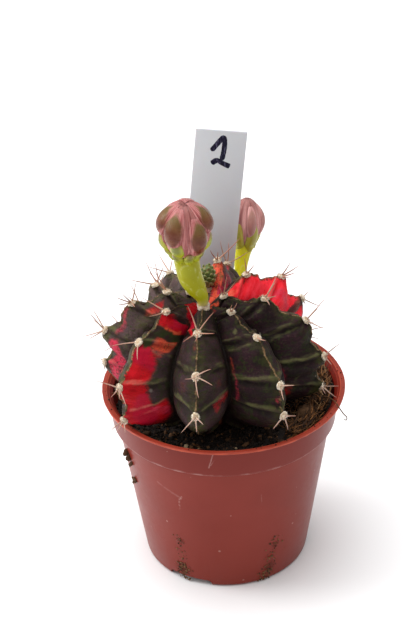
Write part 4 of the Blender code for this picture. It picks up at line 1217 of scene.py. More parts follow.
SOIL_RISE = (13.0, 25.0)          # distances from the plant between which it rises
HEAP_MIDDLE = (25.5, 1.0)
HEAP_SPREAD = 8.0
HEAP_RISE = 2.4


def strip_matrix():
    """Place and lean of the label where it meets the soil."""
    lean = Matrix.Rotation(math.radians(LABEL_LEAN_RIGHT), 4, "Y")
    back = Matrix.Rotation(math.radians(-LABEL_LEAN_BACK), 4, "X")
    return Matrix.Translation(LABEL_FOOT) @ back @ lean


def soil_height(x, y):
    """Height of the soil at a place: nearly flat, lumpy, with a heap of bark at the right."""
    away = ease(math.hypot(x - PLANT.x, y - PLANT.y), *SOIL_RISE)
    level = SOIL_LEVEL + away * (1.3 + 0.045 * x)
    lumps = 0.75 * away * noise.noise(Vector((x, y, 0.0)) * 0.28)
    crumbs = 0.38 * away * noise.noise(Vector((x, y, 9.0)) * 0.75)
    near = math.exp(-((x - HEAP_MIDDLE[0]) ** 2 + (y - HEAP_MIDDLE[1]) ** 2) / HEAP_SPREAD ** 2)
    return level + lumps + crumbs + HEAP_RISE * near * away


# %% [markdown]
# ## Areoles: wool
# An areole is a small cushion of cream wool with a tan middle. A ball, flattened against the
# crest and roughened by noise, gives its body, and short bent hairs all over it give the felt
# edge that a smooth ball lacks. The hairs have three sides, because there are thousands.

# %% Areole places
AREOLE_RADIUS = 1.02
AREOLE_HEIGHT = 0.72


def areole_frame(rib, number):
    """Place and outward direction of an areole on its rib's crest, from the plant's axis."""
    azimuth, distance, height = RIBS[rib][number]
    angle = math.atan2(height - HEART, distance)
    reach_out = math.radians(5)
    ends = []
    for near in (angle - reach_out, angle + reach_out):
        reach, turn, _ = crest(rib, near, notched=False)
        ends.append(around(turn, reach * math.cos(near), HEART + reach * math.sin(near)))
    along = (ends[1] - ends[0]).normalized()
    sideways = Vector((math.cos(math.radians(azimuth)), math.sin(math.radians(azimuth)), 0.0))
    outward = along.cross(sideways).normalized()
    place = around(azimuth, distance, height)
    if outward.dot(place - Vector((0.0, 0.0, HEART))) < 0.0:
        outward.negate()
    return place, outward


AREOLES = [(rib, number) for rib in range(len(RIBS)) for number in range(1, len(RIBS[rib]))]

# %% Wool cushions
WOOL_HAIRS = 70
WOOL_TUFT = 0.26
HAIR_WIDTHS = (0.035, 0.03, 0.012)
wool_draw = random.Random(11)


def add_ball(bm, shade, middle, turn, size, worn, seed):
    """A flattened ball of wool with a tan dimple. size is its half widths and height."""
    made = bmesh.ops.create_icosphere(bm, subdivisions=3, radius=1.0)
    for vert in made["verts"]:
        tuft = noise.fractal(vert.co * 2.2 + seed, 0.8, 2.2, 3)
        centre = 1.0 - ease(math.hypot(vert.co.x, vert.co.y), 0.15, 0.75)
        # the noise that raises the tufts also paints them: lighter where the ball bulges and darker in
        # its dips, partly as painted highlight and shade
        vert[shade] = (centre, worn, 0.5 + 0.5 * tuft, 1.0)
        dimple = 1.0 - 0.18 * centre
        scaled = Vector((vert.co.x * size[0], vert.co.y * size[1], vert.co.z * size[2] * dimple))
        vert.co = middle + turn @ (scaled * (1.0 + WOOL_TUFT * tuft))


def add_hair(bm, shade, root, way, bow, length, worn, pale):
    def paint(vert, share):
        vert[shade] = (0.0, worn, pale, 1.0)

    add_rod(bm, root, way, bow, length, HAIR_WIDTHS, 3, 4, paint)


def wool_hairs(middle, turn, size, length, worn):
    """Root, direction and bow of hairs that stand out all over a ball of wool."""
    for _ in range(WOOL_HAIRS):
        spot = Vector((wool_draw.gauss(0, 1), wool_draw.gauss(0, 1), wool_draw.uniform(0.0, 1.6)))
        spot.normalize()
        root = middle + turn @ Vector([spot[axis] * size[axis] * 0.93 for axis in range(3)])
        stray = Vector((wool_draw.uniform(-1, 1), wool_draw.uniform(-1, 1), 0.2))
        way = (turn @ (spot + stray * 0.7)).normalized()
        bow = turn @ random_vector(wool_draw, 0.5)
        yield root, way, bow, length * wool_draw.uniform(0.5, 1.0), worn, wool_draw.random()


def make_wool():
    balls = []
    hairs = []
    cushions = [(areole_frame(*spot), (AREOLE_RADIUS, AREOLE_RADIUS * 1.15, AREOLE_HEIGHT), 0.5,
                 wool_draw.random()) for spot in AREOLES]
    young = Vector(YOUNG_BUD["foot"]) - PLANT - UP * 1.0
    cushions.append(((young, UP), (1.3, 1.3, 0.8), 0.4, 2.6))
    for spot, size in ((FRONT_BUD_AREOLE, (1.6, 1.6, 1.7)), (BACK_BUD_AREOLE, (1.5, 1.5, 1.3))):
        cushions.append((areole_frame(*spot), size, 0.7, 1.2))
    for (place, outward), size, length, worn in cushions:
        turn = frame_along(outward).to_3x3()
        seed = Vector((wool_draw.uniform(0, 50), wool_draw.uniform(0, 50), 0.0))
        balls.append((place + PLANT, turn, size, worn, seed))
        hairs += wool_hairs(place + PLANT, turn, size, length, worn)
    return in_batches("wool_shade", hairs, add_hair, in_batches("wool_shade", balls, add_ball))


def make_wool_material():
    material, tree = new_material("wool", Subsurface_Weight=0.3, Subsurface_Scale=0.0006,
                                  Subsurface_Radius=(1.0, 0.8, 0.6), Sheen_Weight=0.25)
    centre, worn, tuft, _ = painted(tree, "wool_shade")
    place = in_mm(tree)
    fuzz = noise_at(place, 3.5, 4.0, 0.7)
    # lighter on a ball's tufts and tan in its dips: partly the wool's own cream and tan, partly
    # painted highlight and shade; for a hair the value is random
    colour = blend(step(tuft, 0.2, 0.8), (0.5, 0.36, 0.22), (0.84, 0.75, 0.59))
    colour = blend(worn * 0.3, colour, (0.42, 0.27, 0.17))
    tan = centre * step(fuzz, 0.3, 0.6)
    colour = blend(tan * 0.7, colour, (0.5, 0.27, 0.12))
    grain = grain_at(place, 5.0, 0.85, 0.1)
    dress(tree, colour, grain["Roughness"], fuzz, 0.25)
    return material


finish(make_wool(), "areole_wool", make_wool_material(), ["cactus_body"])

# %% [markdown]
# ## Spines
# A spine turns from straight up the rib, lifts off the skin and has a length. The areoles that
# are seen from the front have their own spines, by rib and place, and the others share one set
# with some jitter. The seed is fixed, so every run grows the same plant. A spine that would run
# into a bud, the label, the pot's lip or the soil is left out.

# %% Spine table
SPINES = ((24, 52, 7.0), (-28, 50, 6.4), (100, 34, 6.0), (-97, 36, 6.6), (176, 32, 6.2))
SPINES_IN_FRONT = {
    (0, 1): ((-70, 15, 6.0), (80, 40, 6.0)),
    (0, 2): ((140, 15, 6.0), (-115, 25, 6.0), (-170, 20, 5.0), (20, 40, 7.0), (-35, 30, 6.5)),
    (0, 3): ((-55, 40, 6.0), (-110, 30, 6.0), (130, 60, 4.5), (-175, 20, 6.0)),
    (0, 4): ((105, 60, 6.0), (-70, 55, 5.0), (-160, 60, 4.0)),
    (1, 1): ((130, 50, 5.0), (175, 50, 6.0)),
    (1, 2): ((155, 40, 4.5),),
    (1, 3): ((-5, 80, 5.0), (150, 30, 4.0)),
    (1, 4): ((5, 45, 5.0), (95, 20, 6.0), (-170, 40, 3.5)),
    (2, 1): ((-70, 45, 5.0), (-25, 50, 6.0), (-25, 25, 6.0)),
    (2, 2): ((-125, 55, 6.5), (145, 70, 6.0), (135, 35, 5.0), (120, 10, 5.5)),
    (2, 3): ((60, 65, 6.0), (-85, 65, 7.0), (130, 30, 6.0)),
    (2, 4): ((0, 45, 6.0), (60, 25, 4.0), (85, 25, 5.0)),
    (2, 5): ((35, 35, 5.0), (75, 45, 5.5), (80, 10, 4.5)),
    (3, 1): ((50, 75, 5.5), (100, 50, 5.0)),
    (3, 2): ((60, 50, 6.0), (95, 45, 6.5), (85, 25, 6.0), (75, 10, 5.0)),
    (3, 3): ((-120, 50, 5.0), (160, 35, 6.0), (-165, 15, 5.0)),
    (4, 1): ((-30, 55, 6.0), (25, 55, 5.0), (120, 25, 8.0)),
    (5, 2): ((-110, 25, 6.0), (-165, 60, 6.0), (135, 35, 5.5)),
    (6, 2): ((-150, 25, 7.0), (60, 40, 5.0)),
    (7, 1): ((155, 55, 6.0), (155, 35, 6.5)),
    (7, 2): ((-5, 50, 6.0), (-95, 55, 6.0), (-135, 50, 6.0), (-135, 30, 5.5), (-75, 5, 5.0)),
    (7, 4): ((150, 10, 5.0), (120, 15, 5.0), (95, 20, 5.0)),
    (8, 1): ((115, 35, 7.5), (-175, 20, 6.0), (-100, 35, 5.0)),
    (8, 2): ((135, 30, 7.0), (-145, 5, 6.0)),
    (8, 3): ((60, 45, 6.0), (-95, 60, 5.0), (-105, 35, 5.0), (-120, 10, 6.0)),
    (8, 4): ((-5, 55, 5.5), (-75, 30, 4.5), (-50, 55, 4.5)),
}
SPINE_WIDTHS = (0.2, 0.155, 0.055)
SPINE_BOW = 0.2
SPINE_FOOT = 0.15
SPINE_JITTER = (14, 9, 0.2)
SPINE_CLEARANCE = 0.8
SPINE_TESTS = (0.35, 0.7, 1.0)    # shares of its length where it has to be clear
LABEL_CLEARANCE = 0.5
MOUTH_RADIUS = 29.6           # inside of the pot's collar
SEAT_RADIUS = 1.4


def keep_outs():
    """Balls that spines stay clear of, round the buds."""
    balls = []
    for _, spot, tube, head in BUDS:
        balls += [(Vector(station[:3]), station[3]) for station in tube]
        start = areole_frame(*spot)[0] + PLANT
        balls += [(mix(start, Vector(tube[0][:3]), share), SEAT_RADIUS) for share in (0.3, 0.6)]
        middle = (Vector(head["foot"]) + Vector(head["tip"])) / 2
        balls.append((middle, head["radius"] + SPINE_CLEARANCE))
    young = Vector(YOUNG_BUD["foot"])
    balls += [(young + UP * YOUNG_BUD["height"] * share, YOUNG_BUD["radius"])
              for share in (0.2, 0.6, 1.0)]
    return balls


def spine_is_clear(points, balls, label):
    for point in points:
        if any((point - centre).length < radius + SPINE_CLEARANCE for centre, radius in balls):
            return False
        inside = label @ point
        near_label = abs(inside.x) < LABEL_WIDTH / 2 + LABEL_CLEARANCE
        if near_label and abs(inside.y) < LABEL_THICKNESS + LABEL_CLEARANCE:
            return False
        near_wall = math.hypot(point.x, point.y) > MOUTH_RADIUS - SPINE_CLEARANCE
        if near_wall and point.z < POT_HEIGHT + SPINE_CLEARANCE:
            return False
        if point.z < soil_height(point.x, point.y) + SPINE_CLEARANCE:
            return False
    return True


# %% Make the spines
def spine_ways(rib, number, draw):
    """Foot, direction, bow and length of each spine of an areole."""
    place, outward = areole_frame(rib, number)
    up = UP - outward * outward.z
    up = up.normalized() if up.length > 0.2 else -around(RIBS[rib][number][0], 1.0, 0.0)
    own = SPINES_IN_FRONT.get((rib, number))
    for turn, lift, length in own or SPINES:
        jitter = [draw.uniform(-reach, reach) for reach in SPINE_JITTER]
        if not own:
            turn += jitter[0]
            lift += jitter[1]
            length *= 1.0 + jitter[2]
        low = Matrix.Rotation(math.radians(turn), 3, outward) @ up
        direction = low * math.cos(math.radians(lift)) + outward * math.sin(math.radians(lift))
        bow = (low.cross(outward) * draw.uniform(-1, 1) + outward * 0.5) * SPINE_BOW
        yield place + outward * SPINE_FOOT + PLANT, direction, bow, length


def add_spine(bm, age, foot, direction, bow, length, old):
    hue = noise.cell(foot * 3.1) * 0.5 + 0.5

    def paint(vert, share):
        vert[age] = (share, old, hue, 1.0)

    add_rod(bm, foot, direction, bow, length, SPINE_WIDTHS, 6, 9, paint)


def make_spines():
    draw = random.Random(5)
    balls = keep_outs()
    label = strip_matrix().inverted()
    grown = []
    for rib, number in AREOLES:
        for foot, direction, bow, length in spine_ways(rib, number, draw):
            points = [foot + (direction + bow * share) * (length * share)
                      for share in SPINE_TESTS]
            if spine_is_clear(points, balls, label):
                grown.append((foot, direction, bow, length, ease(number, 1.0, 4.0)))
    print("spines:", len(grown))
    return in_batches("spine_age", grown, add_spine)


def make_spine_material():
    material, tree = new_material("spine", IOR=1.5, Subsurface_Weight=0.1,
                                  Subsurface_Scale=0.0004)
    share, old, hue, _ = painted(tree, "spine_age")
    young = blend(step(share, 0.0, 0.9), (0.43, 0.21, 0.125), (0.31, 0.085, 0.045))
    grey = blend(step(share, 0.0, 1.0), (0.55, 0.44, 0.36), (0.4, 0.25, 0.2))
    colour = blend(old * 0.7, young, grey)
    colour = blend(hue * 0.4, colour, (0.58, 0.4, 0.3))
    place = in_mm(tree)
    rings = noise_at(place, 2.5)
    colour = blend(step(rings, 0.5, 0.7) * 0.4, colour, (0.22, 0.1, 0.07))
    grain = grain_at(place, 6.0, 0.5, 0.15)
    dress(tree, colour, grain["Roughness"], grain["Height"], 0.03)
    return material


finish(make_spines(), "spines", make_spine_material(), ["cactus_body"])

# %% [markdown]
# ## Flower buds: tubes
# The tube under a bud is a smooth yellow-green stem that bends up out of its areole. A ball whose
# rows are laid along a smooth curve through the measured places makes it, closed at both ends.
# Low scale outlines lie on it, each a raised rim with a pale edge. They are pushed out of the
# surface where a small pattern of arches says so.

# %% Curves through places
PATH_REACH = 0.02                 # share of a path, both ways, over which its direction is taken


def smooth_path(points, share):
    """A point on a smooth curve through the points, each of which is any tuple of numbers."""
    spans = len(points) - 1
    index = min(int(share * spans), spans - 1)
    local = share * spans - index
    before = points[max(index - 1, 0)]
    start = points[index]
    end = points[index + 1]
    after = points[min(index + 2, spans)]
    result = []
    for p0, p1, p2, p3 in zip(before, start, end, after):
        result.append(0.5 * (2 * p1 + (p2 - p0) * local
                             + (2 * p0 - 5 * p1 + 4 * p2 - p3) * local ** 2
                             + (3 * p1 - p0 - 3 * p2 + p3) * local ** 3))
    return result


def on_path(points, share, up=UP):
    """A place on a smooth path, and the turn that lays +Z along the path there."""
    ahead = Vector(smooth_path(points, min(share + PATH_REACH, 1.0))[:3])
    behind = Vector(smooth_path(points, max(share - PATH_REACH, 0.0))[:3])
    return Vector(smooth_path(points, share)[:3]), frame_along(ahead - behind, up).to_3x3()


def tube_stations(spot, tube, head):
    """Places and radii from the tube's seat to the head's foot."""
    areole = areole_frame(*spot)[0] + PLANT
    start = areole + (Vector(tube[0][:3]) - areole).normalized() * 0.9
    foot = Vector(head["foot"])
    axis = (Vector(head["tip"]) - foot).normalized()
    end = foot - axis * 0.3
    return [(*start, 1.3)] + list(tube) + [(*end, head["foot_radius"])]


# %% Make the tubes
TUBE_SIDES = 48
TUBE_ROWS = 72
TUBE_SCALES = ((0.42, 20, 0.8), (0.62, -50, 0.9), (0.68, 75, 0.9), (0.85, 0, 1.0), (0.5, 150, 0.8),
               (0.75, -140, 0.9), (0.3, -95, 0.7), (0.86, 130, 1.0), (0.88, -105, 1.0))
TUBE_SCALE_SIZE = (42.0, 0.17)    # half width in degrees, height as a share of the tube


def arch_of(share, azimuth):
    """How far a place is inside the nearest scale, and how near it is to the scale's rim."""
    inside, rim = 0.0, 0.0
    for top, middle, size in TUBE_SCALES:
        aside = ((azimuth - middle + 180.0) % 360.0 - 180.0) / (TUBE_SCALE_SIZE[0] * size)
        below = (top - share) / (TUBE_SCALE_SIZE[1] * size)
        if abs(aside) > 1.25 or not -0.3 < below < 1.6:
            continue
        depth = 1.0 - math.hypot(aside, max(1.0 - below, 0.0))
        fade = 1.0 - ease(below, 0.7, 1.5)
        inside = max(inside, ease(depth, 0.0, 0.2) * fade)
        rim = max(rim, math.exp(-((depth - 0.06) / 0.07) ** 2) * fade)
    return inside, rim


def make_tube(spot, tube, head):
    stations = tube_stations(spot, tube, head)
    bm = bmesh.new()
    look = bm.verts.layers.float_color.new("tube_look")
    bmesh.ops.create_uvsphere(bm, u_segments=TUBE_SIDES, v_segments=TUBE_ROWS, radius=1.0)
    for vert in bm.verts:
        share = along_ball(vert)
        middle, turn = on_path(stations, share, Vector((0.0, 1.0, 0.0)))
        inside, rim = arch_of(share, math.degrees(math.atan2(vert.co.x, -vert.co.y)))
        flat = Vector((vert.co.x, vert.co.y, 0.0))
        bump = 0.05 * inside + 0.06 * rim + 0.05 * noise.noise(middle * 0.3 + flat)
        vert.co = middle + turn @ spoke(vert, smooth_path(stations, share)[3] + bump)
        vert[look] = (share, rim, inside, 1.0)
    return bm


def make_bud_green(name, dark, light):
    material, tree = new_material(
        name, IOR=1.42, Specular_IOR_Level=0.22, Subsurface_Weight=0.35, Subsurface_Scale=0.0025,
        Subsurface_Radius=(0.8, 1.0, 0.12))
    share, rim, inside, _ = painted(tree, "tube_look")
    place = in_mm(tree)
    clouds = noise_at(place, 0.35)
    colour = blend(clouds, dark, light)
    colour = blend((1.0 - step(share, 0.0, 0.24)) * 0.9, colour, (0.58, 0.46, 0.18))
    colour = blend(inside * 0.18, colour, (0.46, 0.5, 0.06))
    pale = rim * step(noise_at(place, 0.9), 0.35, 0.6)
    colour = blend(pale * 0.5, colour, (0.62, 0.62, 0.24))
    specks = mask_of("specks", place, Scale=1.6, Size=0.2, Share=0.5)
    colour = blend(specks * 0.25, colour, (0.58, 0.6, 0.2))
    grain = grain_at(place, 1.4, 0.36, 0.14)
    dress(tree, colour, grain["Roughness"], grain["Height"], 0.06)
    return material


# the back tube has the front's greens made about twice as light: painted light on the back tube
BUD_GREENS_AND_LIGHT = {"front": ((0.275, 0.26, 0.002), (0.375, 0.355, 0.005)),
              "back": ((0.55, 0.51, 0.006), (0.68, 0.63, 0.014))}
for side, spot, tube, head in BUDS:
    finish(make_tube(spot, tube, head), f"bud_{side}_tube",
           make_bud_green(f"bud_green_{side}", *BUD_GREENS_AND_LIGHT[side]),
           [f"flower_bud_{side}_tube"])

# %% [markdown]
# ## Flower buds: heads
# A closed bud is a round core wrapped by petals in two layers, with green scales that cup its
# foot. Each one is a blade: a fine grid laid on the head between two shares of its height, that
# bulges and narrows as the real one does, and is given a thickness that reaches into the core.
# The outer petals are brown-olive ovals with pink rims, and the inner ones are pink folds that
# meet in a dimple at the top. Their pink is darker at the sides of the inner petals, as painted
# shade, and follows the veins' relief, with painted shade in its grooves and painted highlight
# on its ridges.

# %% Head shape
HEAD_WIDEST = 0.45
HEAD_SLIM = 0.95                  # room for the petals that stand out of the core


def head_radius(head, share):
    """Radius of a closed bud at a share of its height: nearly a ball, cut flat at its foot."""
    wide = head["radius"] * HEAD_SLIM
    if share < HEAD_WIDEST:
        flat = math.sqrt(1.0 - (head["foot_radius"] / wide) ** 2)
        return wide * math.sqrt(1.0 - (flat * (1.0 - share / HEAD_WIDEST)) ** 2)
    return wide * math.sqrt(1.0 - (0.985 * (share - HEAD_WIDEST) / (1.0 - HEAD_WIDEST)) ** 2)


def head_matrix(head):
    foot = Vector(head["foot"])
    return Matrix.Translation(foot) @ frame_along(Vector(head["tip"]) - foot,
                                                  Vector((0.0, 1.0, 0.0)))


# kinds of blade: rise off the core, bulge and fold in mm, and how blunt its ends are
OUTER, INNER, SCALE = range(3)
BLADES = {
    OUTER: dict(rise=0.3, bulge=1.4, fold=0.0, power=0.5),
    INNER: dict(rise=-0.2, bulge=0.4, fold=0.34, power=0.45),
    SCALE: dict(rise=0.3, bulge=0.75, fold=0.0, power=0.4),
}
BLADE_SWAY = 6.0                  # degrees


def ring(kind, count, turn, start, end, width):
    """Blades of one kind evenly round the head, each a little astray."""
    return [(kind, turn + number * 360.0 / count
             + BLADE_SWAY * noise.noise(Vector((number * 3.7, turn, 0.4))), start, end, width)
            for number in range(count)]


# a head's blades: kind, azimuth, start and end as shares of its height, width as part of its radius
PETALS = {
    "front": ring(INNER, 9, 0.0, 0.1, 0.985, 0.74)
    + [(OUTER, -31, 0.3, 0.96, 0.94), (OUTER, 33, 0.12, 0.84, 0.84), (OUTER, -84, 0.42, 0.98, 1.0),
       (OUTER, 74, 0.48, 0.99, 0.95), (OUTER, 128, 0.2, 0.9, 0.9), (OUTER, -142, 0.25, 0.92, 0.9),
       (OUTER, 178, 0.45, 0.99, 0.95)]
    + [(SCALE, -82, 0.06, 0.46, 0.6), (SCALE, -22, 0.1, 0.46, 0.62), (SCALE, 84, 0.06, 0.45, 0.6),
       (SCALE, 145, 0.06, 0.44, 0.6), (SCALE, -150, 0.06, 0.46, 0.6)]
    + ring(SCALE, 8, 12.0, -0.1, 0.17, 0.42),
    "back": ring(INNER, 7, 0.0, 0.1, 0.985, 0.86) + ring(OUTER, 5, 20.0, 0.22, 0.88, 0.7)
    + ring(SCALE, 5, -36.0, -0.1, 0.52, 0.84),
}
BLADE_GRID = (14, 22)
BLADE_DEPTH = 1.6


def add_blade(bm, look, head, petal, seed):
    """A petal or scale wrapped on the head, with its form painted as it is laid."""
    kind, azimuth, start, end, width = petal
    form = BLADES[kind]
    made = bmesh.ops.create_grid(bm, x_segments=BLADE_GRID[0], y_segments=BLADE_GRID[1], size=0.5)
    height = (Vector(head["tip"]) - Vector(head["foot"])).length
    size = head["radius"] / FRONT_HEAD["radius"]
    for vert in made["verts"]:
        along = vert.co.y + 0.5
        aside = vert.co.x * 2.0
        share = mix(start, end, along)
        spread = head["radius"] * width / 2.0
        spread *= max(math.sin(math.pi * mix(0.05, 0.97, along)), 0.0) ** form["power"]
        bulge = form["bulge"] * math.sin(math.pi * min(along * 1.03, 1.0)) ** 0.8
        rounded_off = math.sqrt(max(1.0 - aside * aside, 0.0))
        ripple = form["fold"] * math.cos(2.2 * math.pi * aside + seed) * math.sin(math.pi * along)
        wave = 0.12 * noise.noise(Vector((aside * 1.3, along * 3.0, seed * 9.0)))
        outwards = (form["rise"] + bulge * rounded_off + ripple + wave) * size
        outwards -= 0.35 * (1.0 - rounded_off)
        radius = max(head_radius(head, max(share, 0.0)) + outwards, 0.15)
        if kind == SCALE and share < 0.0:
            radius = head["foot_radius"] + 0.12 + outwards
        turn = math.degrees(aside * spread / max(radius, 1.4 * size))
        vert.co = around(azimuth + turn, radius, share * height)
        vert[look] = (along, abs(aside), kind / 2.0, (seed * 0.37) % 1.0)
    grid = {face for vert in made["verts"] for face in vert.link_faces}
    grown = bmesh.ops.extrude_face_region(bm, geom=list(grid))["geom"]
    for vert in [item for item in grown if isinstance(item, bmesh.types.BMVert)]:
        radius = math.hypot(vert.co.x, vert.co.y)
        inward = max(radius - BLADE_DEPTH * size, 0.1) / radius
        vert.co.x *= inward
        vert.co.y *= inward


def make_head(head, petals):
    """The core first, then inner petals, outer petals and scales, each on its own seed."""
    height = (Vector(head["tip"]) - Vector(head["foot"])).length
    bm = bmesh.new()
    look = bm.verts.layers.float_color.new("petal_look")
    made = bmesh.ops.create_uvsphere(bm, u_segments=32, v_segments=24, radius=1.0)
    for vert in made["verts"]:
        share = along_ball(vert)
        radius = max(head_radius(head, min(share, 0.97)) - 0.3, 0.0)
        vert.co = spoke(vert, radius) + UP * (height * 0.975 * share)
        vert[look] = (share, 0.9, 0.0, 0.4)
    for number, petal in enumerate(petals, 1):
        add_blade(bm, look, head, petal, float(number))
    bmesh.ops.recalc_face_normals(bm, faces=bm.faces)
    bmesh.ops.transform(bm, matrix=head_matrix(head), verts=bm.verts)
    return bm


# %% Petal finish
def make_bud_pink(name, brownness, paleness):
    """Petals and scales. brownness is that of the outer ovals, paleness that of the pink."""
    material, tree = new_material(
        name, IOR=1.42, Specular_IOR_Level=0.3, Subsurface_Weight=0.18,
        Subsurface_Scale=0.0012, Subsurface_Radius=(1.0, 0.45, 0.4))
    along, aside, kind, seed = painted(tree, "petal_look")
    place = in_mm(tree)
    veins = noise_at(add_node("CombineXYZ", {0: along * 2.0, 1: aside * 16.0, 2: seed * 20.0}), 1.0)
    clouds = noise_at(place, 0.4)
    # the streaks follow the vein noise that is also the bump's height: darker in its grooves as
    # painted shade, lighter on its ridges as painted highlight, over the veins' own colour
    rosy = blend(step(veins, 0.3, 0.7), (0.22, 0.03, 0.034), (0.6, 0.26, 0.24))
    rosy = blend(paleness, rosy, (0.74, 0.4, 0.37))
    tip = step(along, 0.55, 0.95)
    inner = blend(tip * 0.75, rosy, (0.27, 0.095, 0.082))
    # painted shade: each inner petal is darkened towards its sides, where it folds in between its
    # neighbours
    folds = step(aside, 0.6, 1.0) * 0.72
    inner = blend(folds, inner, (0.16, 0.022, 0.02))
    from_middle = along * 2.2 - 1.15
    oval = (aside * aside + from_middle * from_middle) ** 0.5
    shaky = (clouds - 0.5) * 0.35 + oval
    centre = 1.0 - step(shaky, 0.78, 1.04)
    brown = blend(step(clouds, 0.35, 0.65), (0.115, 0.027, 0.014), (0.18, 0.058, 0.027))
    brown = blend(step(along, 0.45, 0.95), brown, (0.135, 0.088, 0.026))
    outer = blend(centre * brownness, rosy, brown)
    lime = blend(step(aside, 0.3, 1.0), (0.2, 0.21, 0.045), (0.42, 0.42, 0.06))
    lime = blend(step(along, 0.1, 0.55), (0.38, 0.4, 0.012), lime)
    lime = blend(step(along, 0.6, 0.95) * 0.55, lime, (0.27, 0.13, 0.07))
    lime = blend(paleness, lime, (0.5, 0.44, 0.07))
    is_inner = calc("COMPARE", kind, 0.5, 0.2)
    is_scale = kind > 0.75
    colour = blend(is_scale, blend(is_inner, outer, inner), lime)
    grain = grain_at(place, 1.4, 0.29, 0.12)
    dress(tree, colour, grain["Roughness"], veins, 0.08)
    return material


BUD_PINKS = {"front": (1.0, 0.0), "back": (0.45, 0.5)}
for side, spot, tube, head in BUDS:
    finish(make_head(head, PETALS[side]), f"bud_{side}_head",
           make_bud_pink(f"bud_pink_{side}", *BUD_PINKS[side]),
           [f"flower_bud_{side}_tepals"], 50)

# %% [markdown]
# ## Young bud
# The small bud in the crown is still a ball of tight green scales. They follow the golden angle,
# so that each new one stands in the widest gap, and each is a small ball drawn out to a point.

# %% Make the young bud
YOUNG_SCALES = 44
GOLDEN_ANGLE = 137.508


def young_radius(share):
    round_share = 1.0 - (2.0 * min(max(share, 0.02), 0.98) - 1.0) ** 2
    return 1.08 * YOUNG_BUD["radius"] * round_share ** 0.36


def make_young_bud():
    height = YOUNG_BUD["height"]
    foot = Vector(YOUNG_BUD["foot"])
    bm = bmesh.new()
    look = bm.verts.layers.float_color.new("scale_look")
    made = bmesh.ops.create_uvsphere(bm, u_segments=24, v_segments=16, radius=1.0)
    for vert in made["verts"]:
        share = (vert.co.z + 1.0) / 2.0
        core = spoke(vert, young_radius(min(share, 0.99)) * 0.86)
        vert.co = foot + core + UP * (height * (0.02 + 0.93 * share))
        vert[look] = (0.0, share, 0.0, 1.0)
    for count in range(YOUNG_SCALES):
        share = 0.06 + 0.9 * (count + 0.5) / YOUNG_SCALES
        radius = young_radius(share)
        azimuth = count * GOLDEN_ANGLE
        out = around(azimuth, 1.0, 0.0)
        place = foot + out * (radius * 0.88) + UP * (height * share)
        lean = (out * mix(0.5, 0.0, ease(share, 0.3, 1.0)) + UP).normalized()
        turn = Matrix((out.cross(lean).normalized(), out.cross(lean).cross(lean).normalized(),
                       lean)).transposed()
        size = mix(0.5, 0.72, ease(share, 0.0, 0.35)) * mix(1.0, 0.55, ease(share, 0.55, 1.0))
        made = bmesh.ops.create_uvsphere(bm, u_segments=12, v_segments=8, radius=1.0)
        for vert in made["verts"]:
            tip = (vert.co.z + 1.0) / 2.0
            narrow = 1.0 - 0.35 * ease(tip, 0.4, 1.0)
            local = Vector((vert.co.x * 0.98 * narrow, vert.co.y * 0.42 * narrow, vert.co.z * 0.86))
            vert.co = place + turn @ (local * size)
            vert[look] = (tip, share, count % 7 / 7.0, 1.0)
    bmesh.ops.recalc_face_normals(bm, faces=bm.faces)
    return bm


def make_young_green():
    material, tree = new_material(
        "young_bud_green", IOR=1.42, Subsurface_Weight=0.2, Subsurface_Scale=0.0008,
        Subsurface_Radius=(0.7, 1.0, 0.2))
    tip, share, seed, _ = painted(tree, "scale_look")
    place = in_mm(tree)
    colour = blend(seed, (0.075, 0.105, 0.018), (0.15, 0.17, 0.035))
    colour = blend(step(tip, 0.62, 1.0), colour, (0.3, 0.29, 0.13))
    blots = step(noise_at(place, 0.9), 0.5, 0.65)
    colour = blend(blots * 0.6, colour, (0.24, 0.12, 0.05))
    low = 1.0 - step(share, 0.05, 0.45)
    colour = blend(low * 0.7, colour, (0.4, 0.21, 0.08))
    grain = grain_at(place, 3.0, 0.42, 0.15)
    dress(tree, colour, grain["Roughness"], grain["Height"], 0.04)
    return material


finish(make_young_bud(), "young_bud_scales", make_young_green(), ["young_bud"])

# %% [markdown]
# ## Plant label
# The label is a stick of thin white plastic that leans a little. The solid has its outline, so
# this one only adds what a real one has: rounded corners and edges, from bevels on a box that is
# narrowed at its foot. The numeral was written with a thick marker, and it is a flat stroke that
# lies on the plastic.

# %% Make the label
LABEL_CORNER = 0.35
LABEL_EDGE = 0.12


def make_label():
    half = LABEL_WIDTH / 2
    point = LABEL_POINT_WIDTH / 2
    outline = ((-point, -LABEL_BELOW), (point, -LABEL_BELOW), (half, 0.0), (half, LABEL_ABOVE),
               (-half, LABEL_ABOVE), (-half, 0.0))
    bm = bmesh.new()
    front = LABEL_THICKNESS / 2
    face = bm.faces.new([bm.verts.new((x, -front, z)) for x, z in outline])
    grown = bmesh.ops.extrude_face_region(bm, geom=[face])["geom"]
    moved = [item for item in grown if isinstance(item, bmesh.types.BMVert)]
    bmesh.ops.translate(bm, vec=(0.0, 2 * front, 0.0), verts=moved)
    bmesh.ops.recalc_face_normals(bm, faces=bm.faces)
    corners = [edge for edge in bm.edges if abs(edge.verts[0].co.y - edge.verts[1].co.y) > front
               and edge.verts[0].co.z > LABEL_ABOVE - 1.0]
    bmesh.ops.bevel(bm, geom=corners, offset=LABEL_CORNER, offset_type="OFFSET", affect="EDGES",
                    segments=8, profile=0.5, material=-1)
    rims = [edge for edge in bm.edges if abs(edge.verts[0].co.y - edge.verts[1].co.y) < 1e-4]
    bmesh.ops.bevel(bm, geom=rims, offset=LABEL_EDGE, offset_type="OFFSET", affect="EDGES",
                    segments=2, profile=0.5, material=-1)
    bmesh.ops.transform(bm, matrix=strip_matrix(), verts=bm.verts)
    return bm


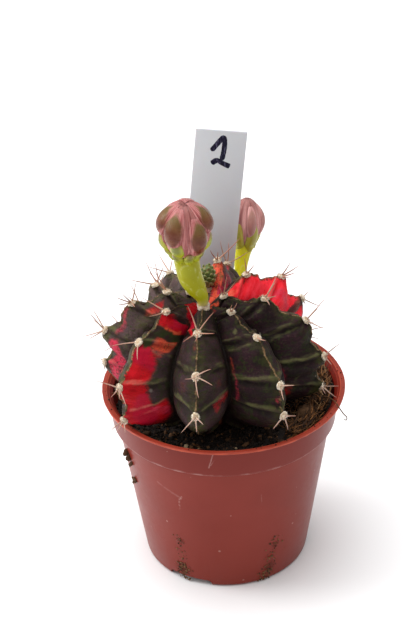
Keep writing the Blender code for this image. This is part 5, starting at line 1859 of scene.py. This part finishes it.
def make_label_plastic():
    material, tree = new_material("label_plastic", IOR=1.5, Subsurface_Weight=0.1,
                                  Subsurface_Scale=0.0008)
    place = in_mm(tree)
    height = add_node("SeparateXYZ", {0: place}, "Z")
    clouds = noise_at(place, 0.12, 2.0)
    colour = blend(clouds, (0.565, 0.575, 0.605), (0.61, 0.62, 0.64))
    low = 1.0 - step(height, 45.0, 62.0)
    soiled = low * step(noise_at(place, 0.6, 5.0), 0.4, 0.7)
    colour = blend(soiled * 0.6, colour, (0.16, 0.1, 0.06))
    rubs = mask_of("mottle", stretch(place, (4.0, 1.0, 0.5)), Scale=0.7, Low=0.62, High=0.74)
    colour = blend(rubs * 0.12, colour, (0.5, 0.5, 0.53))
    grain = grain_at(place, 1.8, 0.42, 0.1)
    dress(tree, colour, grain["Roughness"], grain["Height"], 0.03)
    return material


finish(make_label(), "label_strip", make_label_plastic(), ["plant_label"], 40)

# %% Marker numeral
# strokes as places on the label, right and down from the middle of its top edge
NUMERAL = (((-2.3, -6.0), (-0.85, -3.9), (0.5, -2.05), (1.02, -3.0), (1.08, -5.4), (0.72, -8.6)),
           ((-1.95, -9.6), (-0.55, -8.55), (0.9, -9.2), (2.1, -9.7), (3.05, -10.0)))
STROKE_HALF_WIDTH = 0.7
INK_THICKNESS = 0.03
STROKE_STEPS = 40


def make_numeral():
    bm = bmesh.new()
    for stroke in NUMERAL:
        made = bmesh.ops.create_uvsphere(bm, u_segments=24, v_segments=STROKE_STEPS, radius=1.0)
        for vert in made["verts"]:
            share = along_ball(vert)
            x, z = smooth_path(stroke, share)
            ahead = Vector(smooth_path(stroke, min(share + 0.01, 1.0)))
            behind = Vector(smooth_path(stroke, max(share - 0.01, 0.0)))
            side = (ahead - behind).orthogonal().normalized()
            cap = min(math.sin(math.pi * share) * 5.0, 1.0) ** 0.5
            ragged = 1.0 + 0.14 * noise.noise(Vector((x, z, 3.0)) * 1.5)
            across = vert.co.x / max(math.hypot(vert.co.x, vert.co.y), 1e-6)
            across *= STROKE_HALF_WIDTH * ragged * cap
            vert.co = Vector((x + side.x * across, -LABEL_THICKNESS / 2
                              + vert.co.y * INK_THICKNESS, LABEL_ABOVE + z + side.y * across))
    bmesh.ops.transform(bm, matrix=strip_matrix(), verts=bm.verts)
    bmesh.ops.recalc_face_normals(bm, faces=bm.faces)
    return bm


def make_ink():
    material, tree = new_material("marker_ink", Specular_IOR_Level=0.12)
    place = in_mm(tree)
    worn = mask_of("mottle", stretch(place, (2.0, 1.0, 0.5)), Scale=1.2, Low=0.5, High=0.72)
    colour = blend(worn, (0.007, 0.005, 0.02), (0.095, 0.088, 0.15))
    dress(tree, colour, worn * 0.2 + 0.4)
    return material


finish(make_numeral(), "label_numeral", make_ink())

# %% [markdown]
# ## Soil
# The bed has the solid's own outline and heights, with a finer surface. What makes it peat is
# what lies on it: thousands of crumbs, each a ball of 20 faces squashed and roughened, in dark
# browns with a few ochre ones, then coir fibres and bits of bark.

# %% Soil bed
GAP = 0.3
SOIL_SIDES = 160
SOIL_RINGS = 70


def make_soil_bed():
    wall = inner_wall()[:3]
    outline = [(0.0, FLOOR_THICKNESS + GAP)]
    outline += [(radius - GAP, height + GAP) for radius, height in wall]
    top_radius = outline[-1][0]
    outline += [(top_radius * (1.0 - ring / SOIL_RINGS), SOIL_LEVEL) for ring in range(SOIL_RINGS + 1)]
    bm = spin_profile(outline, SOIL_SIDES)
    for vert in bm.verts:
        if vert.co.z > SOIL_LEVEL - 0.01:
            fine = noise.fractal(Vector((vert.co.x, vert.co.y, 4.0)) * 1.3, 1.0, 2.1, 4)
            vert.co.z = soil_height(vert.co.x, vert.co.y) + 0.35 * fine
    return bm


def make_peat():
    material, tree = new_material("peat")
    place = in_mm(tree)
    crumbs = noise_at(place, 1.1, 5.0, 0.65)
    colour = blend(step(crumbs, 0.3, 0.7), (0.005, 0.003, 0.0025), (0.03, 0.017, 0.011))
    flecks = mask_of("specks", place, Scale=1.2, Size=0.3, Share=0.2)
    colour = blend(flecks * 0.6, colour, (0.13, 0.07, 0.035))
    grain = grain_at(place, 2.6, 0.86, 0.15)
    dress(tree, colour, grain["Roughness"], crumbs, 0.6)
    return material


finish(make_soil_bed(), "soil_bed", make_peat(), ["soil"])

# %% Crumbs
CRUMBS = 4200
SOIL_REACH = 29.0
soil_draw = random.Random(23)


def on_soil(x, y, above=0.0):
    return Vector((x, y, soil_height(x, y) + above))


def soil_spot():
    """A place on the soil, spread evenly over its disk."""
    distance = SOIL_REACH * math.sqrt(soil_draw.random())
    azimuth = soil_draw.uniform(0.0, math.tau)
    return on_soil(distance * math.cos(azimuth), distance * math.sin(azimuth))


def add_chunk(bm, tint, middle, size, shade, subdivisions, seed):
    """A crumb or a bit of bark: a squashed ball, roughened and turned."""
    made = bmesh.ops.create_icosphere(bm, subdivisions=subdivisions, radius=1.0)
    turn = Matrix.Rotation(seed * 2.3, 3, "Z") @ Matrix.Rotation(math.sin(seed * 5.1) * 0.6, 3, "X")
    for vert in made["verts"]:
        rough = 1.0 + 0.5 * noise.noise(vert.co * 1.4 + Vector((seed * 7.3, 0.0, 0.0)))
        scaled = Vector([vert.co[axis] * size[axis] * rough for axis in range(3)])
        vert.co = middle + turn @ scaled
        vert[tint] = (shade, (seed * 0.713) % 1.0, rough - 0.6, 1.0)


def make_crumbs():
    crumbs = []
    for _ in range(CRUMBS):
        spot = soil_spot()
        width = 0.2 + 0.5 * soil_draw.random() ** 3
        size = [width * soil_draw.uniform(0.4, 1.7) for _ in range(3)]
        shade = soil_draw.random() ** 3
        crumbs.append((spot + UP * width * 0.3, size, shade, 1, soil_draw.uniform(0, 9)))
    return in_batches("tint", crumbs, add_chunk)


def make_crumb_material():
    material, tree = new_material("peat_crumbs", Specular_IOR_Level=0.3)
    shade, seed, *_ = painted(tree, "tint")
    place = in_mm(tree)
    colour = blend(seed, (0.006, 0.004, 0.003), (0.024, 0.013, 0.008))
    colour = blend(step(shade, 0.35, 1.0), colour, (0.19, 0.092, 0.04))
    colour = blend(shade > 1.2, colour, (0.5, 0.37, 0.22))
    fine = noise_at(place, 3.0, 4.0)
    colour = blend(step(fine, 0.5, 0.75) * 0.4, colour, (0.1, 0.055, 0.028))
    grain = grain_at(place, 4.0, 0.85, 0.15)
    dress(tree, colour, grain["Roughness"], fine, 0.15)
    return material


crumb_material = make_crumb_material()
finish(make_crumbs(), "peat_crumbs", crumb_material)

# %% [markdown]
# Coir fibres make the soil look matted. They are long bent hairs, thick on the heap at the right
# and thin elsewhere. Some lean on the pot's wall, and one hooked root hangs over the lip. Bits of
# bark lie among them, and crumbs of peat stick to the lip and to the outside of the pot, where
# water once ran down.

# %% Fibres
HEAP_AZIMUTHS = (38, 128)         # the coarse heap lies along the wall between these
HEAP_RADII = (14, 28.3)
HEAP_HEIGHT = 3.6
HEAP_FIBRES = 800
RIM_FIBRES = 800                  # coarse ones that lie along the wall
LOOSE_FIBRES = 260
FIBRE_WIDTH = 0.1


def fibre_spots():
    """Where fibres lie, how coarse each is, the heap's height there, its heading and its bend."""
    middle = sum(HEAP_AZIMUTHS) / 2
    half = (HEAP_AZIMUTHS[1] - HEAP_AZIMUTHS[0]) / 2
    for _ in range(HEAP_FIBRES):
        aside = (soil_draw.random() + soil_draw.random() - 1.0)
        out = soil_draw.random() ** 0.6
        spot = around(middle + aside * half, mix(*HEAP_RADII, out), 0.0)
        yield spot, 1.0, HEAP_HEIGHT * out * (1.0 - aside * aside), soil_draw.uniform(0, math.tau), 0.9
    for _ in range(RIM_FIBRES):
        azimuth = soil_draw.uniform(*HEAP_AZIMUTHS)
        spot = around(azimuth, soil_draw.uniform(24.0, 28.3), 0.0)
        yield spot, 1.4, HEAP_HEIGHT, math.radians(azimuth) + soil_draw.gauss(0.15, 0.35), 0.35
    for _ in range(LOOSE_FIBRES):
        yield soil_spot(), 0.6, 0.5, soil_draw.uniform(0, math.tau), 0.9


def make_fibres():
    fibres = []
    for spot, coarse, deep, heading, bend in fibre_spots():
        if math.hypot(spot.x, spot.y) > MOUTH_RADIUS - 1.2:
            continue
        lift = soil_draw.uniform(-0.05, 0.55) * bend
        way = Vector((math.cos(heading), math.sin(heading), lift)).normalized()
        bow = random_vector(soil_draw, bend)
        length = soil_draw.uniform(1.2, 4.6) * coarse
        foot = on_soil(spot.x, spot.y, soil_draw.uniform(0.05, 1.0) * deep)
        tip = foot + (way + bow) * length
        if math.hypot(tip.x, tip.y) > MOUTH_RADIUS - 0.3 or tip.z < soil_height(tip.x, tip.y):
            continue
        fibres.append((foot, way, bow, length, soil_draw.random(), coarse))
    return in_batches("tint", fibres, add_fibre)


def add_fibre(bm, tint, foot, way, bow, length, shade, coarse):
    def paint(vert, share):
        vert[tint] = (shade, (shade * 7.3) % 1.0, share, 1.0)

    thick = FIBRE_WIDTH * max(coarse, 0.7) * mix(0.7, 1.5, (shade * 3.7) % 1.0)
    add_rod(bm, foot, way, bow, length, (thick, thick, thick * 0.5), 4, 9, paint)


def make_fibre_material():
    material, tree = new_material("coir", Specular_IOR_Level=0.3)
    shade, seed, *_ = painted(tree, "tint")
    place = in_mm(tree)
    colour = blend(shade ** 2.2, (0.022, 0.009, 0.004), (0.36, 0.15, 0.045))
    colour = blend(seed > 0.93, colour, (0.44, 0.26, 0.12))
    fine = noise_at(place, 3.0)
    colour = blend(fine * 0.3, colour, (0.05, 0.024, 0.011))
    grain = grain_at(place, 4.0, 0.75, 0.15)
    dress(tree, colour, grain["Roughness"], fine, 0.05)
    return material


fibre_material = make_fibre_material()
finish(make_fibres(), "coir_fibres", fibre_material)

# %% Bent roots
# places along each of them, in millimetres
ROOTS = (
    ((23.6, -4.6, 48.6), (26.6, -6.9, 50.4), (28.3, -11.0, 52.1), (29.4, -13.2, 51.8),
     (30.7, -15.1, 50.6), (31.6, -15.9, 49.9), (31.5, -16.4, 49.3), (30.9, -16.2, 49.4)),
    ((-26.0, -4.0, 46.5), (-28.0, -4.6, 50.5), (-28.6, -5.6, 52.6), (-29.6, -6.8, 53.2)),
    ((19.0, -16.0, 46.8), (22.5, -15.6, 48.0), (24.6, -13.0, 47.4)),
)
ROOT_WIDTH = 0.19


def make_roots():
    bm, tint = painted_bmesh("tint")
    for number, path in enumerate(ROOTS):
        made = bmesh.ops.create_uvsphere(bm, u_segments=8, v_segments=48, radius=1.0)
        for vert in made["verts"]:
            share = along_ball(vert)
            middle, turn = on_path(path, share)
            vert.co = middle + turn @ spoke(vert, ROOT_WIDTH * mix(1.1, 0.6, share))
            vert[tint] = (0.55, 0.3 * number, share, 1.0)
    return bm


finish(make_roots(), "bent_roots", fibre_material)

# %% [markdown]
# Crumbs that stick to the outside of the pot follow its wall: each one is given an azimuth and a
# height, and the wall's own profile says how far out it sits.

# %% Bark, beads and stuck crumbs
BARK = (
    # place on the soil, half sizes, shade
    ((21.0, -10.6), (2.5, 1.7, 2.1), 0.72), ((24.5, 9.5), (2.6, 1.4, 1.0), 0.7),
    ((18.8, 6.0), (2.2, 1.3, 0.9), 0.5), ((26.5, 2.5), (1.6, 1.0, 0.8), 0.8),
    ((14.5, -20.5), (1.6, 0.9, 0.5), 0.55), ((5.3, -20.6), (1.3, 0.6, 0.5), 0.75),
    ((-20.5, -13.0), (1.4, 0.8, 0.6), 0.6), ((22.0, -12.0), (1.8, 1.0, 0.7), 0.6),
    ((9.0, 24.0), (1.8, 1.1, 0.8), 0.6), ((-14.0, 22.0), (1.6, 0.9, 0.6), 0.6),
)
BEADS = ((-10.2, -20.1, 0.68), (-6.9, -21.6, 0.42), (-14.1, -19.9, 0.45), (2.6, -22.0, 0.4))
TRAILS = (
    # azimuth, its spread, heights, how many
    (-31.0, 2.8, (0.5, 6.5), 110), (-31.5, 2.6, (5.0, 12.0), 30), (-30.5, 2.2, (13.0, 17.0), 16),
    (25.0, 3.0, (0.3, 3.5), 65), (28.5, 3.0, (2.0, 9.0), 40), (32.0, 2.6, (8.0, 16.0), 34),
    (110.0, 5.0, (1.0, 10.0), 40), (-118.0, 4.0, (1.0, 12.0), 40), (178.0, 4.0, (1.0, 8.0), 30),
)
WALL_BARK = ((-68.0, 36.9, (1.2, 0.5, 1.0)), (-66.5, 35.5, (1.3, 0.5, 1.2)),
             (-65.0, 33.9, (0.7, 0.6, 1.0)), (-66.0, 28.3, (1.0, 0.45, 0.6)),
             (-67.5, 27.2, (0.4, 0.4, 0.9)), (-65.0, 27.6, (0.5, 0.3, 0.5)))
LIP_CRUMBS = 90


def wall_radius(height):
    return mix(BASE_RADIUS, WALL_TOP_RADIUS, height / COLLAR_FOOT)


def make_debris():
    chunks = []
    for place, size, shade in BARK:
        chunks.append((on_soil(*place, size[2] * 0.6), size, shade, 3, soil_draw.uniform(0, 9)))
    for x, y, size in BEADS:
        chunks.append((on_soil(x, y, size * 0.8), (size,) * 3, 1.6, 2, 1.0))
    for azimuth, spread, heights, count in TRAILS:
        for _ in range(count):
            height = soil_draw.uniform(*heights)
            size = 0.09 + 0.24 * soil_draw.random() ** 3
            spot = around(soil_draw.gauss(azimuth, spread), wall_radius(height) + 0.04, height)
            half = [size * soil_draw.uniform(0.7, 1.5) for _ in range(3)]
            chunks.append((spot, half, mix(0.45, 1.0, soil_draw.random()), 1,
                           soil_draw.uniform(0, 9)))
    for azimuth, height, size in WALL_BARK:
        spot = around(azimuth, wall_radius(height) + 0.25, height)
        chunks.append((spot, size, 0.62, 2, azimuth))
    for _ in range(LIP_CRUMBS):
        size = 0.08 + 0.2 * soil_draw.random() ** 2
        spot = around(soil_draw.uniform(0, 360), soil_draw.uniform(30.9, 32.0), POT_HEIGHT + 0.03)
        chunks.append((spot, (size, size, size * 0.7), soil_draw.random() * 0.6, 1,
                       soil_draw.uniform(0, 9)))
    return in_batches("tint", chunks, add_chunk)


finish(make_debris(), "bark_and_debris", crumb_material)
